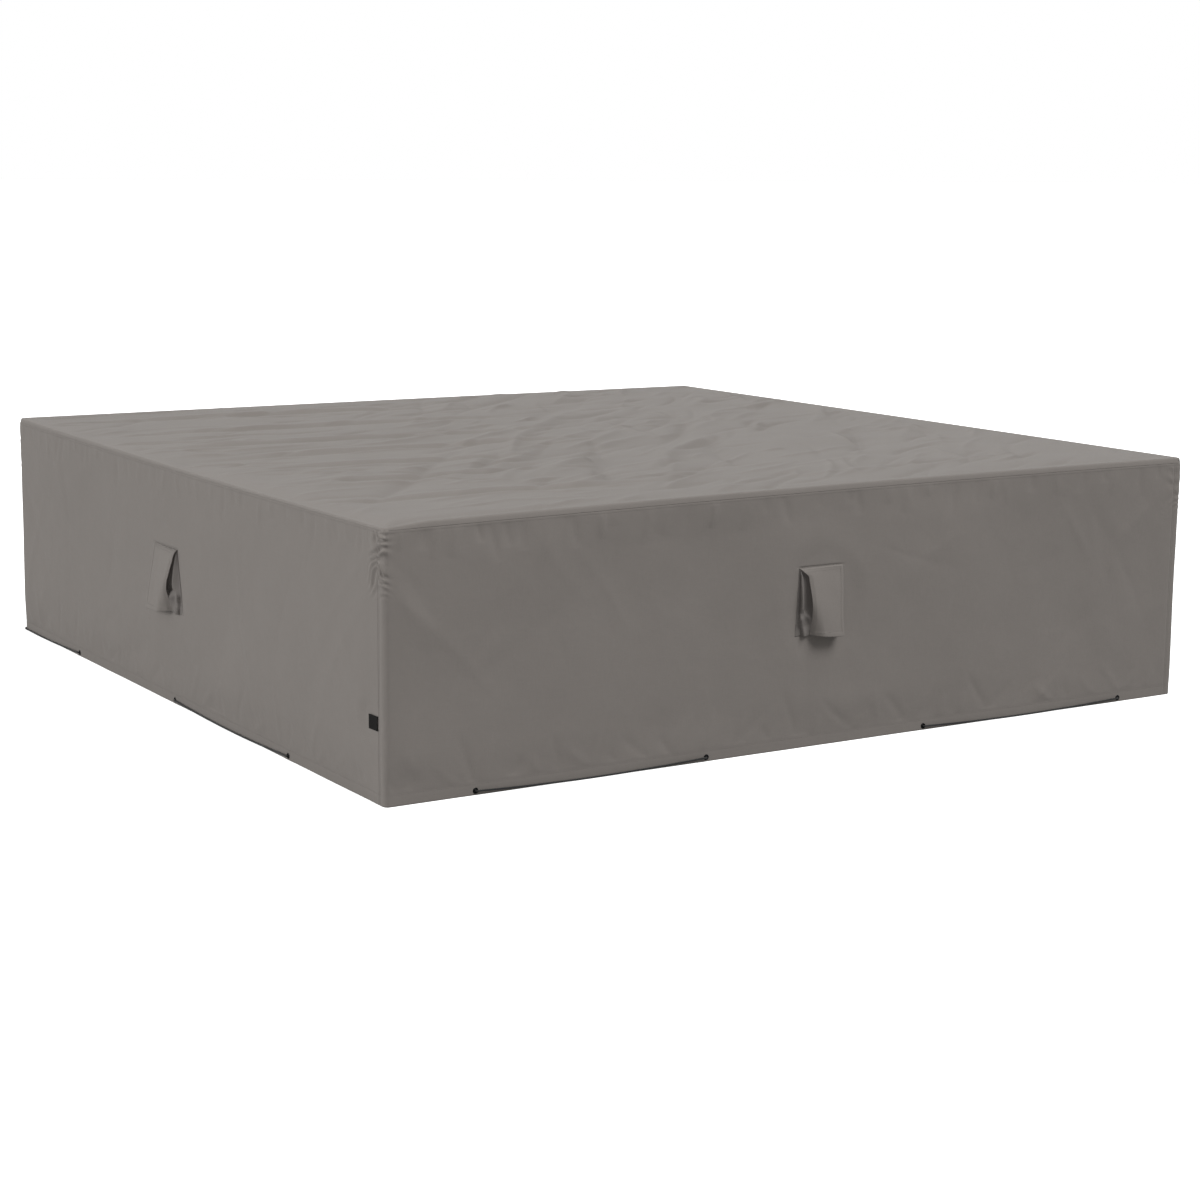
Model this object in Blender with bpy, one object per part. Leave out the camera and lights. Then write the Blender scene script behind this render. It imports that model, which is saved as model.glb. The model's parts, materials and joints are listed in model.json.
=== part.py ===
"""Spa cover: a square fabric cover with four skirts, a vent hood on each side and a drawcord in the hem.

Units are metres, +Z is up. The origin is the middle of the footprint, on the plane that the hem rests on.
Each side is modelled as the front one, where +X runs along the side, -Y points out of it and the outer face
of the fabric lies at y = -HALF. A side frame, an empty on the origin, turns those pieces to their own side.
"""

import math

import bmesh
import bpy
from mathutils import Matrix, Vector

# The cover
SIDE = 2.65
HEIGHT = 0.70
HALF = SIDE / 2
FABRIC = 0.0008
GAP = 0.0003
CORNER_RADIUS = 0.022
CORNER_STEPS = 6
SEAM_FROM_CORNER = 0.032
SKIRT_TOP = HEIGHT - FABRIC - GAP

# The hem, a tunnel folded inwards at the foot of each skirt
HEM_DEPTH = 0.009
HEM_HEIGHT = 0.030
HEM_CHAMFER = 0.002

# Bindings over the seam allowances, inside the cover
BINDING_THICKNESS = 0.001
TOP_BINDING_THICKNESS = 0.002
TOP_BINDING_HEIGHT = 0.012
CORNER_BINDING_WIDTH = 0.014

# The drawcord, which leaves the hem through a pair of eyelets at each window.
# A window is a stretch of the hem, measured from the front left corner towards the front right one and on.
CORD_RADIUS = 0.0026
CORD_OUT = 0.0055
CORD_BEND = 0.00525
CORD_BEND_STEPS = 3
CORD_RUN_STEPS = 7
CORD_LOWEST = 0.0034
EYELET_HEIGHT = 0.012
FRONT_WINDOWS = [(0.254, 0.954), (1.692, 2.432)]
LEFT_WINDOWS = [(7.700, 8.471), (9.260, 10.039)]
FAR_WINDOW_COUNT = 3
FAR_WINDOW_LENGTH = 0.737
PERIMETER = 4 * SIDE

# An eyelet: a rolled grommet, one radius for its bore, one for its shank and one for its flanges
EYELET_BORE = 0.0045
EYELET_SHANK = 0.0052
EYELET_FLANGE = 0.0080
EYELET_FLANGE_THICKNESS = 0.0010
EYELET_HOLE = 0.0056
EYELET_SEGMENTS = 16

# The cord lock: a barrel and a sprung plunger that both strands of the cord pass through
LOCK_SIDE = 2
LOCK_OUT = 0.0096
LOCK_FOOT = 0.002
LOCK_RADIUS = 0.009
LOCK_BORE = 0.0075
LOCK_HEIGHT = 0.022
LOCK_FLOOR = 0.002
LOCK_SEGMENTS = 24
STRAND_SPACING = 0.0064
STRAND_HEIGHT = 0.0153
STRAND_ROOM = 0.0004
TAIL_LENGTH = 0.085
SPRING_HEIGHT = 0.007
SPRING_RADIUS = 0.0055
SPRING_WIRE = 0.0004
SPRING_TURNS = 3
SPRING_STEPS_PER_TURN = 12
PLUNGER_TRAVEL = 0.0035
PLUNGER_PROUD = 0.006
PLUNGER_RADIUS = 0.0072
PLUNGER_WEB = 0.0015
END_STOP_RADIUS = 0.0033
END_STOP_LENGTH = 0.014

# A vent hood: a flap sewn along its top edge, held off the skirt by a prop over a screened opening.
# Each side's place is the middle of the hood along the side and the height of its top seam.
VENT_PLACES = {"front": (-0.002, 0.497), "right": (0.0, 0.48), "back": (0.0, 0.48), "left": (-0.050, 0.459)}
HOOD_WIDTH = 0.160
HOOD_LENGTH = 0.198
HOOD_THICKNESS = 0.0016
HOOD_HINGE_OUT = 0.0012
HOOD_SEAM = 0.003
HOOD_CORNER = 0.008
HOOD_OPEN_DEG = 9.0
GUSSET_THICKNESS = 0.0008
GUSSET_INSET = 0.003
GUSSET_TOP = 0.016
GUSSET_FOOT = 0.192
OPENING_SIZE = 0.110
OPENING_DROP = 0.022
SCREEN_MARGIN = 0.010
SCREEN_THICKNESS = 0.0006
PROP_LENGTH = 0.0252
PROP_WIDTH = 0.022
PROP_THICKNESS = 0.0016
PROP_DROP = 0.140
PROP_OUT_DEG = 54.0
PATCH_SIZE = 0.026
PATCH_THICKNESS = 0.0012

# The label, caught in the seam beside the front left corner
LABEL_WIDTH = 0.046
LABEL_HEIGHT = 0.040
LABEL_THICKNESS = 0.0012
LABEL_CENTRE_HEIGHT = 0.206
LABEL_OUT = 0.0012
LABEL_HEM = 0.002

SIDES = ["front", "right", "back", "left"]


def clear_scene():
    for obj in list(bpy.data.objects):
        bpy.data.objects.remove(obj, do_unlink=True)


def material(name, colour, roughness, metallic=0.0):
    made = bpy.data.materials.new(name)
    made.use_nodes = True
    shader = made.node_tree.nodes["Principled BSDF"]
    shader.inputs["Base Color"].default_value = (*colour, 1.0)
    shader.inputs["Roughness"].default_value = roughness
    shader.inputs["Metallic"].default_value = metallic
    return made


def make_materials():
    return {
        "cover_fabric": material("cover_fabric", (0.21, 0.195, 0.18), 0.85),
        "binding": material("binding", (0.12, 0.11, 0.10), 0.9),
        "cord": material("cord", (0.012, 0.012, 0.012), 0.7),
        "eyelet": material("eyelet", (0.015, 0.015, 0.015), 0.45, 0.6),
        "lock_plastic": material("lock_plastic", (0.02, 0.02, 0.02), 0.5),
        "spring": material("spring", (0.55, 0.55, 0.55), 0.35, 1.0),
        "label": material("label", (0.018, 0.018, 0.016), 0.8),
        "screen": material("screen", (0.03, 0.03, 0.03), 0.7),
        "prop": material("prop", (0.05, 0.05, 0.05), 0.8),
        "hook_tape": material("hook_tape", (0.03, 0.03, 0.03), 0.6),
    }


def link(name, data, parent=None, location=(0, 0, 0), turn_x=0.0):
    """An object made from this data, placed in its parent's frame."""
    obj = bpy.data.objects.new(name, data)
    bpy.context.scene.collection.objects.link(obj)
    obj.parent = parent
    obj.location = location
    obj.rotation_euler.x = turn_x
    return obj


def side_frame(side):
    frame = link(side + "_frame", None)
    frame.rotation_euler.z = math.pi / 2 * SIDES.index(side)
    return frame


def mesh_from(name, bm, surface):
    """Ends a bmesh: outward normals, one material, and a mesh."""
    bmesh.ops.recalc_face_normals(bm, faces=bm.faces[:])
    mesh = bpy.data.meshes.new(name)
    bm.to_mesh(mesh)
    bm.free()
    mesh.materials.append(surface)
    return mesh


def box_mesh(name, low, high, surface):
    """A box between two corners."""
    bm = bmesh.new()
    size = Vector(high) - Vector(low)
    place = Matrix.Translation((Vector(high) + Vector(low)) / 2) @ Matrix.Diagonal((*size, 1.0))
    bmesh.ops.create_cube(bm, size=1.0, matrix=place)
    return mesh_from(name, bm, surface)


def bevelled_plate_mesh(name, low, high, corners, radius, surface):
    """A plate standing in the XZ plane, with the named corners (signs of x and z) rounded."""
    bm = bmesh.new()
    size = Vector(high) - Vector(low)
    middle = (Vector(high) + Vector(low)) / 2
    bmesh.ops.create_cube(bm, size=1.0, matrix=Matrix.Translation(middle) @ Matrix.Diagonal((*size, 1.0)))

    def wanted(edge):
        a, b = (vert.co - middle for vert in edge.verts)
        runs_through = abs(a.x - b.x) < GAP and abs(a.z - b.z) < GAP
        return runs_through and (math.copysign(1, a.x), math.copysign(1, a.z)) in corners

    rounded = [edge for edge in bm.edges if wanted(edge)]
    bmesh.ops.bevel(bm, geom=rounded, offset=radius, segments=4, profile=0.5, affect="EDGES")
    return mesh_from(name, bm, surface)


def spun_mesh(name, profile, segments, surface):
    """A closed outline of (radius, height) pairs spun about Z."""
    bm = bmesh.new()
    verts = [bm.verts.new((radius, 0, height)) for radius, height in profile]
    edges = [bm.edges.new((verts[i - 1], verts[i])) for i in range(len(verts))]
    bmesh.ops.spin(bm, geom=verts + edges, cent=(0, 0, 0), axis=(0, 0, 1), angle=2 * math.pi, steps=segments)
    bmesh.ops.remove_doubles(bm, verts=bm.verts[:], dist=1e-6)
    mesh = mesh_from(name, bm, surface)
    mesh.shade_smooth()
    mesh.set_sharp_from_angle(angle=math.radians(40))
    return mesh


def swept_mesh(name, stations, section, surface, is_loop=False):
    """A section of (outward, height) pairs carried along stations, each a function from outward to a point."""
    bm = bmesh.new()
    rings = [[bm.verts.new(station(outward, height)) for outward, height in section] for station in stations]
    pairs = list(zip(rings, rings[1:]))
    if is_loop:
        pairs.append((rings[-1], rings[0]))
    for first, second in pairs:
        for i in range(len(section)):
            bm.faces.new((first[i - 1], first[i], second[i], second[i - 1]))
    if not is_loop:
        bm.faces.new(rings[0])
        bm.faces.new(rings[-1])
    bmesh.ops.triangulate(bm, faces=[face for face in bm.faces if len(face.verts) > 4])
    return mesh_from(name, bm, surface)


def hem_point(along, outward, height):
    """The point this far along the cover's outline from the front left corner, and this far outside it."""
    side, on_side = divmod(along % PERIMETER, SIDE)
    x = on_side - HALF
    straight = HALF - CORNER_RADIUS
    lean = 0.0
    if abs(x) > straight:
        lean = math.copysign((abs(x) - straight) / CORNER_RADIUS * math.pi / 4, x)
        x = math.copysign(straight, x) + (CORNER_RADIUS + outward) * math.sin(lean)
    y = -straight - (CORNER_RADIUS + outward) * math.cos(lean)
    return Matrix.Rotation(math.pi / 2 * side, 3, "Z") @ Vector((x, y, height))


def station_at(along):
    return lambda outward, height: hem_point(along, outward, height)


def corner_stations(corner):
    """Stations round one corner of the outline, given as a distance along it."""
    steps = range(CORNER_STEPS + 1)
    return [corner + CORNER_RADIUS * (2 * step / CORNER_STEPS - 1) for step in steps]


def far_windows():
    """The windows on the two far sides, spread evenly between the ones on the near sides."""
    start = FRONT_WINDOWS[-1][1]
    free = LEFT_WINDOWS[0][0] - start - FAR_WINDOW_COUNT * FAR_WINDOW_LENGTH
    space = free / (FAR_WINDOW_COUNT + 1)
    starts = [start + space + i * (space + FAR_WINDOW_LENGTH) for i in range(FAR_WINDOW_COUNT)]
    return [(begin, begin + FAR_WINDOW_LENGTH) for begin in starts]


WINDOWS = FRONT_WINDOWS + far_windows() + LEFT_WINDOWS
LOCK_WINDOW = next(window for window in WINDOWS if window[0] > LOCK_SIDE * SIDE)
LOCK_ALONG = sum(LOCK_WINDOW) / 2
LOCK_X = LOCK_ALONG - LOCK_SIDE * SIDE - HALF


def skirt_section():
    """The skirt's section: the sheet, its fold at the foot and the return that closes the tunnel."""
    outside = [
        (0, SKIRT_TOP),
        (0, HEM_CHAMFER),
        (-HEM_CHAMFER, 0),
        (HEM_CHAMFER - HEM_DEPTH, 0),
        (-HEM_DEPTH, HEM_CHAMFER),
        (-HEM_DEPTH, HEM_HEIGHT - HEM_DEPTH),
        (-FABRIC - GAP, HEM_HEIGHT),
    ]
    inside = [
        (-FABRIC - GAP, HEM_HEIGHT - 2 * FABRIC),
        (FABRIC - HEM_DEPTH, HEM_HEIGHT - HEM_DEPTH - FABRIC / 2),
        (FABRIC - HEM_DEPTH, HEM_CHAMFER),
        (HEM_CHAMFER - HEM_DEPTH, FABRIC),
        (-HEM_CHAMFER, FABRIC),
        (-FABRIC, HEM_CHAMFER),
        (-FABRIC, SKIRT_TOP),
    ]
    return outside + inside


def cut(obj, cutter):
    """Takes the cutter out of the object, and hides the cutter."""
    cutter.hide_render = True
    cutter.display_type = "WIRE"
    modifier = obj.modifiers.new("cut_" + cutter.name, "BOOLEAN")
    modifier.operation = "DIFFERENCE"
    modifier.object = cutter


def eyelet_cutter_mesh(places):
    """Short cylinders through the outer sheet of a hem, one for each eyelet on it."""
    bm = bmesh.new()
    for x in places:
        place = Matrix.Translation((x, -HALF, EYELET_HEIGHT)) @ Matrix.Rotation(math.pi / 2, 4, "X")
        bmesh.ops.create_cone(
            bm,
            cap_ends=True,
            segments=EYELET_SEGMENTS,
            radius1=EYELET_HOLE,
            radius2=EYELET_HOLE,
            depth=HEM_DEPTH / 2,
            matrix=place,
        )
    bmesh.ops.recalc_face_normals(bm, faces=bm.faces[:])
    mesh = bpy.data.meshes.new("eyelet_holes")
    bm.to_mesh(mesh)
    bm.free()
    return mesh


def eyelet_places(side):
    """Where the eyelets are along this side, as x in its frame."""
    start = SIDES.index(side) * SIDE
    ends = [end for window in WINDOWS for end in window]
    return [end - start - HALF for end in ends if start < end < start + SIDE]


def add_skirt(side, frame, surfaces):
    """A skirt panel. It begins round the corner at its left end and stops short of the one at its right."""
    first = -SEAM_FROM_CORNER + GAP
    last = SIDE - SEAM_FROM_CORNER
    along = [first] + corner_stations(0.0) + [last]
    stations = [station_at(distance) for distance in along]
    mesh = swept_mesh(side + "_skirt", stations, skirt_section(), surfaces["cover_fabric"])
    skirt = link(side + "_skirt", mesh, frame)

    holes = link(side + "_eyelet_holes", eyelet_cutter_mesh(eyelet_places(side)), frame)
    cut(skirt, holes)

    vent_x, vent_top = VENT_PLACES[side]
    low = (vent_x - OPENING_SIZE / 2, -HALF - HEM_DEPTH, vent_top - OPENING_DROP - OPENING_SIZE)
    high = (vent_x + OPENING_SIZE / 2, -HALF + HEM_DEPTH, vent_top - OPENING_DROP)
    corners = [(-1, -1), (-1, 1), (1, -1), (1, 1)]
    opening = bevelled_plate_mesh(
        side + "_vent_opening", low, high, corners, HOOD_CORNER, surfaces["cover_fabric"]
    )
    cut(skirt, link(side + "_vent_opening", opening, frame))


def add_top_panel(surfaces):
    bm = bmesh.new()
    bottom = HEIGHT - FABRIC
    outline = [along for side in range(4) for along in corner_stations(side * SIDE)]
    face = bm.faces.new([bm.verts.new(hem_point(along, 0, bottom)) for along in outline])
    grown = bmesh.ops.extrude_face_region(bm, geom=[face])
    raised = [item for item in grown["geom"] if isinstance(item, bmesh.types.BMVert)]
    bmesh.ops.translate(bm, verts=raised, vec=(0, 0, FABRIC))
    bmesh.ops.triangulate(bm, faces=[face for face in bm.faces if len(face.verts) > 4])
    link("top_panel", mesh_from("top_panel", bm, surfaces["cover_fabric"]))


def add_bindings(frames, surfaces):
    """The tape over the top seam, a loop inside the cover, and the tape down each corner seam."""
    outer = -FABRIC - GAP
    inner = outer - TOP_BINDING_THICKNESS
    low = SKIRT_TOP - TOP_BINDING_HEIGHT
    section = [(outer, low), (outer, SKIRT_TOP), (inner, SKIRT_TOP), (inner, low)]
    stations = [station_at(along) for side in range(4) for along in corner_stations(side * SIDE)]
    surface = surfaces["binding"]
    link("top_seam_binding", swept_mesh("top_seam_binding", stations, section, surface, is_loop=True))

    seam_x = HALF - SEAM_FROM_CORNER
    face_y = -HALF + FABRIC + GAP
    low_corner = (seam_x - CORNER_BINDING_WIDTH / 2, face_y, HEM_HEIGHT + GAP)
    high_corner = (
        seam_x + CORNER_BINDING_WIDTH / 2,
        face_y + BINDING_THICKNESS,
        low - GAP,
    )
    for side, frame in frames.items():
        name = side + "_corner_binding"
        link(name, box_mesh(name, low_corner, high_corner, surface), frame)


def bend_points(eyelet, leaving):
    """The cord's S through an eyelet: a quarter turn on each side of the fabric. It runs out of the hem
    when leaving, and otherwise back into it."""
    quarter = [step / CORD_BEND_STEPS * math.pi / 2 for step in range(CORD_BEND_STEPS + 1)]
    middle = CORD_OUT - CORD_BEND
    inner = [(-CORD_BEND + CORD_BEND * math.sin(t), middle - CORD_BEND * math.cos(t)) for t in quarter]
    outer = [(CORD_BEND - CORD_BEND * math.cos(t), middle + CORD_BEND * math.sin(t)) for t in quarter]
    path = inner + outer[1:]
    if leaving:
        return [hem_point(eyelet + along, outward, EYELET_HEIGHT) for along, outward in path]
    return [hem_point(eyelet - along, outward, EYELET_HEIGHT) for along, outward in reversed(path)]


def hanging_run(start, end):
    """The bare cord between two eyelets: it hangs from both and lies close to the hem between them."""
    first, last = start + 2 * CORD_BEND, end - 2 * CORD_BEND
    middle, reach = (first + last) / 2, (last - first) / 2
    inset = [first + (last - first) * step / (CORD_RUN_STEPS + 1) for step in range(1, CORD_RUN_STEPS + 1)]
    corners = [corner for k in range(9) for corner in corner_stations(k * SIDE)]
    stops = sorted(inset + [corner for corner in corners if first < corner < last])
    closest = CORD_RADIUS + GAP
    points = []
    for along in stops:
        share = ((along - middle) / reach) ** 2
        outward = closest + (CORD_OUT - closest) * share
        points.append(hem_point(along, outward, CORD_LOWEST + (EYELET_HEIGHT - CORD_LOWEST) * share))
    return points


def hidden_run(start, end):
    """The cord inside the hem, from one window to the next: straight, and round any corner on its way."""
    corners = [corner for k in range(9) for corner in corner_stations(k * SIDE)]
    return [
        hem_point(along, CORD_OUT - 2 * CORD_BEND, EYELET_HEIGHT)
        for along in corners
        if start + 2 * CORD_BEND < along < end - 2 * CORD_BEND
    ]


def cord_path():
    """The cord's centre line, from one tail through the lock, round the whole hem and back to the lock."""
    near = LOCK_OUT - STRAND_SPACING / 2
    far = LOCK_OUT + STRAND_SPACING / 2
    order = WINDOWS.index(LOCK_WINDOW)
    rest = WINDOWS[order + 1 :] + [(a + PERIMETER, b + PERIMETER) for a, b in WINDOWS[:order]]
    back = (LOCK_WINDOW[0] + PERIMETER, LOCK_WINDOW[1] + PERIMETER)

    points = [hem_point(LOCK_ALONG + reach, far, STRAND_HEIGHT) for reach in (-TAIL_LENGTH, TAIL_LENGTH)]
    points += bend_points(LOCK_WINDOW[1], leaving=False)
    at = LOCK_WINDOW[1]
    for start, end in rest:
        points += hidden_run(at, start)
        points += bend_points(start, leaving=True) + hanging_run(start, end)
        points += bend_points(end, leaving=False)
        at = end
    points += hidden_run(at, back[0]) + bend_points(back[0], leaving=True)
    points += [hem_point(LOCK_ALONG + reach, near, STRAND_HEIGHT) for reach in (-TAIL_LENGTH, TAIL_LENGTH)]
    return points


def tube(name, points, radius, surface):
    """A round tube along these points, as a curve with a bevel."""
    curve = bpy.data.curves.new(name, "CURVE")
    curve.dimensions = "3D"
    spline = curve.splines.new("POLY")
    spline.points.add(len(points) - 1)
    for spot, point in zip(spline.points, points):
        spot.co = (*point, 1.0)
    curve.bevel_depth = radius
    curve.bevel_resolution = 2
    curve.use_fill_caps = True
    curve.materials.append(surface)
    return curve


def add_eyelets(frames, surfaces):
    back = -FABRIC - GAP
    front = GAP
    thick = EYELET_FLANGE_THICKNESS
    profile = [
        (EYELET_BORE, back - thick),
        (EYELET_FLANGE, back - thick),
        (EYELET_FLANGE, back),
        (EYELET_SHANK, back),
        (EYELET_SHANK, front),
        (EYELET_FLANGE, front),
        (EYELET_FLANGE - thick / 2, front + thick),
        (EYELET_BORE + thick / 2, front + thick),
        (EYELET_BORE, front + thick / 2),
    ]
    shape = spun_mesh("eyelet", profile, EYELET_SEGMENTS, surfaces["eyelet"])
    places = [(side, x) for side in SIDES for x in eyelet_places(side)]
    for number, (side, x) in enumerate(places, start=1):
        link(f"eyelet_{number:02d}", shape, frames[side], (x, -HALF, EYELET_HEIGHT), math.pi / 2)


def slot_cutter(name, frame, low, high):
    """A box along the strands of the cord, for the passage through the lock."""
    half_width = STRAND_SPACING / 2 + CORD_RADIUS + STRAND_ROOM / 2
    bm = bmesh.new()
    size = (4 * LOCK_RADIUS, 2 * half_width, high - low)
    bmesh.ops.create_cube(
        bm, size=1.0, matrix=Matrix.Translation((0, 0, (low + high) / 2)) @ Matrix.Diagonal((*size, 1.0))
    )
    bmesh.ops.recalc_face_normals(bm, faces=bm.faces[:])
    mesh = bpy.data.meshes.new(name)
    bm.to_mesh(mesh)
    bm.free()
    return link(name, mesh, frame)


def add_cord_lock(frame, surfaces):
    """The lock stands on end outside the back hem, where the two strands cross through it."""
    lock = link("cord_lock", None, frame, (LOCK_X, -HALF - LOCK_OUT, LOCK_FOOT))
    strand = STRAND_HEIGHT - LOCK_FOOT
    strand_low = strand - CORD_RADIUS - STRAND_ROOM / 2
    strand_high = strand + CORD_RADIUS + STRAND_ROOM / 2

    edge = LOCK_RADIUS - HEM_CHAMFER / 2
    barrel_profile = [
        (0, 0),
        (edge, 0),
        (LOCK_RADIUS, HEM_CHAMFER / 2),
        (LOCK_RADIUS, LOCK_HEIGHT - HEM_CHAMFER / 2),
        (edge, LOCK_HEIGHT),
        (LOCK_BORE, LOCK_HEIGHT),
        (LOCK_BORE, LOCK_FLOOR),
        (0, LOCK_FLOOR),
    ]
    plastic = surfaces["lock_plastic"]
    barrel_mesh = spun_mesh("cord_lock_barrel", barrel_profile, LOCK_SEGMENTS, plastic)
    barrel = link("cord_lock_barrel", barrel_mesh, lock)
    cut(barrel, slot_cutter("barrel_slot", lock, strand_low, strand_high))

    foot = LOCK_FLOOR + SPRING_HEIGHT
    head = LOCK_HEIGHT + PLUNGER_PROUD
    plunger_profile = [
        (0, foot),
        (PLUNGER_RADIUS, foot),
        (PLUNGER_RADIUS, head - HEM_CHAMFER),
        (PLUNGER_RADIUS - HEM_CHAMFER, head),
        (0, head),
    ]
    plunger_mesh = spun_mesh("cord_lock_plunger", plunger_profile, LOCK_SEGMENTS, plastic)
    plunger = link("cord_lock_plunger", plunger_mesh, lock)
    slot_foot = min(foot + PLUNGER_WEB, strand_low)
    cut(plunger, slot_cutter("plunger_slot", lock, slot_foot, strand_high + PLUNGER_TRAVEL))

    low = LOCK_FLOOR + GAP + SPRING_WIRE
    high = foot - GAP - SPRING_WIRE
    count = SPRING_TURNS * SPRING_STEPS_PER_TURN
    coil = []
    for step in range(count + 1):
        turn = 2 * math.pi * step / SPRING_STEPS_PER_TURN
        height = low + (high - low) * step / count
        coil.append(Vector((SPRING_RADIUS * math.cos(turn), SPRING_RADIUS * math.sin(turn), height)))
    link("cord_lock_spring", tube("cord_lock_spring", coil, SPRING_WIRE, surfaces["spring"]), lock)


def add_cord_ends(frame, surfaces):
    """A bell on each tail of the cord, closed at its outer end."""
    room = CORD_RADIUS + STRAND_ROOM / 2
    waist = (room + END_STOP_RADIUS) / 2
    profile = [
        (0, END_STOP_LENGTH),
        (0, END_STOP_LENGTH / 2 + GAP),
        (room, END_STOP_LENGTH / 2 + GAP),
        (room, 0),
        (waist, 0),
        (END_STOP_RADIUS, END_STOP_LENGTH / 2),
        (END_STOP_RADIUS, END_STOP_LENGTH - HEM_CHAMFER / 2),
        (END_STOP_RADIUS - HEM_CHAMFER / 2, END_STOP_LENGTH),
    ]
    for name, way in (("cord_end_left", -1), ("cord_end_right", 1)):
        shape = spun_mesh(name, profile, LOCK_SEGMENTS // 2, surfaces["lock_plastic"])
        outward = LOCK_OUT - way * STRAND_SPACING / 2
        mouth = LOCK_X + way * (TAIL_LENGTH - END_STOP_LENGTH / 2)
        end = link(name, shape, frame, (mouth, -HALF - outward, STRAND_HEIGHT))
        end.rotation_euler.y = way * math.pi / 2


def hood_gap(drop):
    """How far the hood's inner face stands off the skirt, this far down the hood."""
    return HOOD_HINGE_OUT + drop * math.tan(math.radians(HOOD_OPEN_DEG))


def gusset_mesh(name, surface):
    """The cloth that closes one side of a hood: a long triangle between the skirt and the hood."""
    clear = 2 * GAP
    outline = [
        (-clear, -GUSSET_TOP),
        (-clear, -GUSSET_FOOT),
        (-hood_gap(GUSSET_FOOT) + clear, -GUSSET_FOOT),
        (-hood_gap(GUSSET_TOP) + clear, -GUSSET_TOP),
    ]
    bm = bmesh.new()
    verts = [bm.verts.new((-GUSSET_THICKNESS / 2, y, z)) for y, z in outline]
    face = bm.faces.new(verts)
    grown = bmesh.ops.extrude_face_region(bm, geom=[face])
    moved = [item for item in grown["geom"] if isinstance(item, bmesh.types.BMVert)]
    bmesh.ops.translate(bm, verts=moved, vec=(GUSSET_THICKNESS, 0, 0))
    return mesh_from(name, bm, surface)


def add_vent(side, frame, surfaces):
    """A vent: the hood on its top seam, its two gussets, the screen behind it, and the prop with its patch."""
    x, top = VENT_PLACES[side]
    vent = link(side + "_vent", None, frame, (x, -HALF, top))
    fabric = surfaces["cover_fabric"]
    prefix = side + "_vent_"

    half = HOOD_WIDTH / 2
    hood_shape = bevelled_plate_mesh(
        prefix + "hood",
        (-half, -HOOD_THICKNESS, -HOOD_LENGTH),
        (half, 0, -HOOD_SEAM),
        [(-1, -1), (1, -1)],
        HOOD_CORNER,
        fabric,
    )
    open_turn = -math.radians(HOOD_OPEN_DEG)
    hood = link(prefix + "hood", hood_shape, vent, (0, -HOOD_HINGE_OUT, 0), open_turn)

    for name, way in (("gusset_left", -1), ("gusset_right", 1)):
        gusset_x = way * (half - GUSSET_INSET)
        link(prefix + name, gusset_mesh(prefix + name, fabric), vent, (gusset_x, 0, 0))

    reach = OPENING_SIZE / 2 + SCREEN_MARGIN
    middle = -OPENING_DROP - OPENING_SIZE / 2
    inner = FABRIC + GAP
    screen = box_mesh(
        prefix + "screen",
        (-reach, inner, middle - reach),
        (reach, inner + SCREEN_THICKNESS, middle + reach),
        surfaces["screen"],
    )
    link(prefix + "screen", screen, vent)

    prop_shape = box_mesh(
        prefix + "prop",
        (-PROP_WIDTH / 2, -PROP_THICKNESS / 2, -PROP_LENGTH),
        (PROP_WIDTH / 2, PROP_THICKNESS / 2, PROP_THICKNESS / 2),
        surfaces["prop"],
    )
    pivot = (0, PROP_THICKNESS + GAP, -PROP_DROP)
    link(prefix + "prop", prop_shape, hood, pivot, math.radians(PROP_OUT_DEG))

    lean = math.radians(PROP_OUT_DEG - HOOD_OPEN_DEG)
    patch_middle = -PROP_DROP * math.cos(open_turn) - PROP_LENGTH * math.cos(lean)
    patch = box_mesh(
        prefix + "hook_patch",
        (-PATCH_SIZE / 2, -GAP - PATCH_THICKNESS, patch_middle - PATCH_SIZE / 2),
        (PATCH_SIZE / 2, -GAP, patch_middle + PATCH_SIZE / 2),
        surfaces["hook_tape"],
    )
    link(prefix + "hook_patch", patch, vent)


def add_label(frame, surfaces):
    """A folded label whose one edge is caught in the corner seam of the left side."""
    seam_x = HALF - SEAM_FROM_CORNER
    shape = bevelled_plate_mesh(
        "side_label",
        (-LABEL_WIDTH - LABEL_HEM, -LABEL_THICKNESS / 2, -LABEL_HEIGHT / 2),
        (-LABEL_HEM, LABEL_THICKNESS / 2, LABEL_HEIGHT / 2),
        [(-1, -1), (-1, 1)],
        LABEL_HEM,
        surfaces["label"],
    )
    link("side_label", shape, frame, (seam_x, -HALF - LABEL_OUT, LABEL_CENTRE_HEIGHT))


def build():
    clear_scene()
    surfaces = make_materials()
    frames = {side: side_frame(side) for side in SIDES}
    add_top_panel(surfaces)
    for side, frame in frames.items():
        add_skirt(side, frame, surfaces)
        add_vent(side, frame, surfaces)
    add_bindings(frames, surfaces)
    link("drawcord", tube("drawcord", cord_path(), CORD_RADIUS, surfaces["cord"]))
    add_eyelets(frames, surfaces)
    add_cord_lock(frames[SIDES[LOCK_SIDE]], surfaces)
    add_cord_ends(frames[SIDES[LOCK_SIDE]], surfaces)
    add_label(frames["left"], surfaces)


build()
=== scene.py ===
"""The looks of the spa cover: its cloth, cord and fittings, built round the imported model.

Units are metres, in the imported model's frame. "Along" is a distance round the cover's outline, from the front
left corner towards the front right one, and "out" is a distance outside the model's outer face. A side's own
pieces are made as the front one's, where +X runs along the side and the outside is at -Y, then turned to it.
"""

import json
import math

import bmesh
import bpy
import numpy as np
from mathutils import Matrix, Vector
from mathutils.bvhtree import BVHTree


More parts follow.
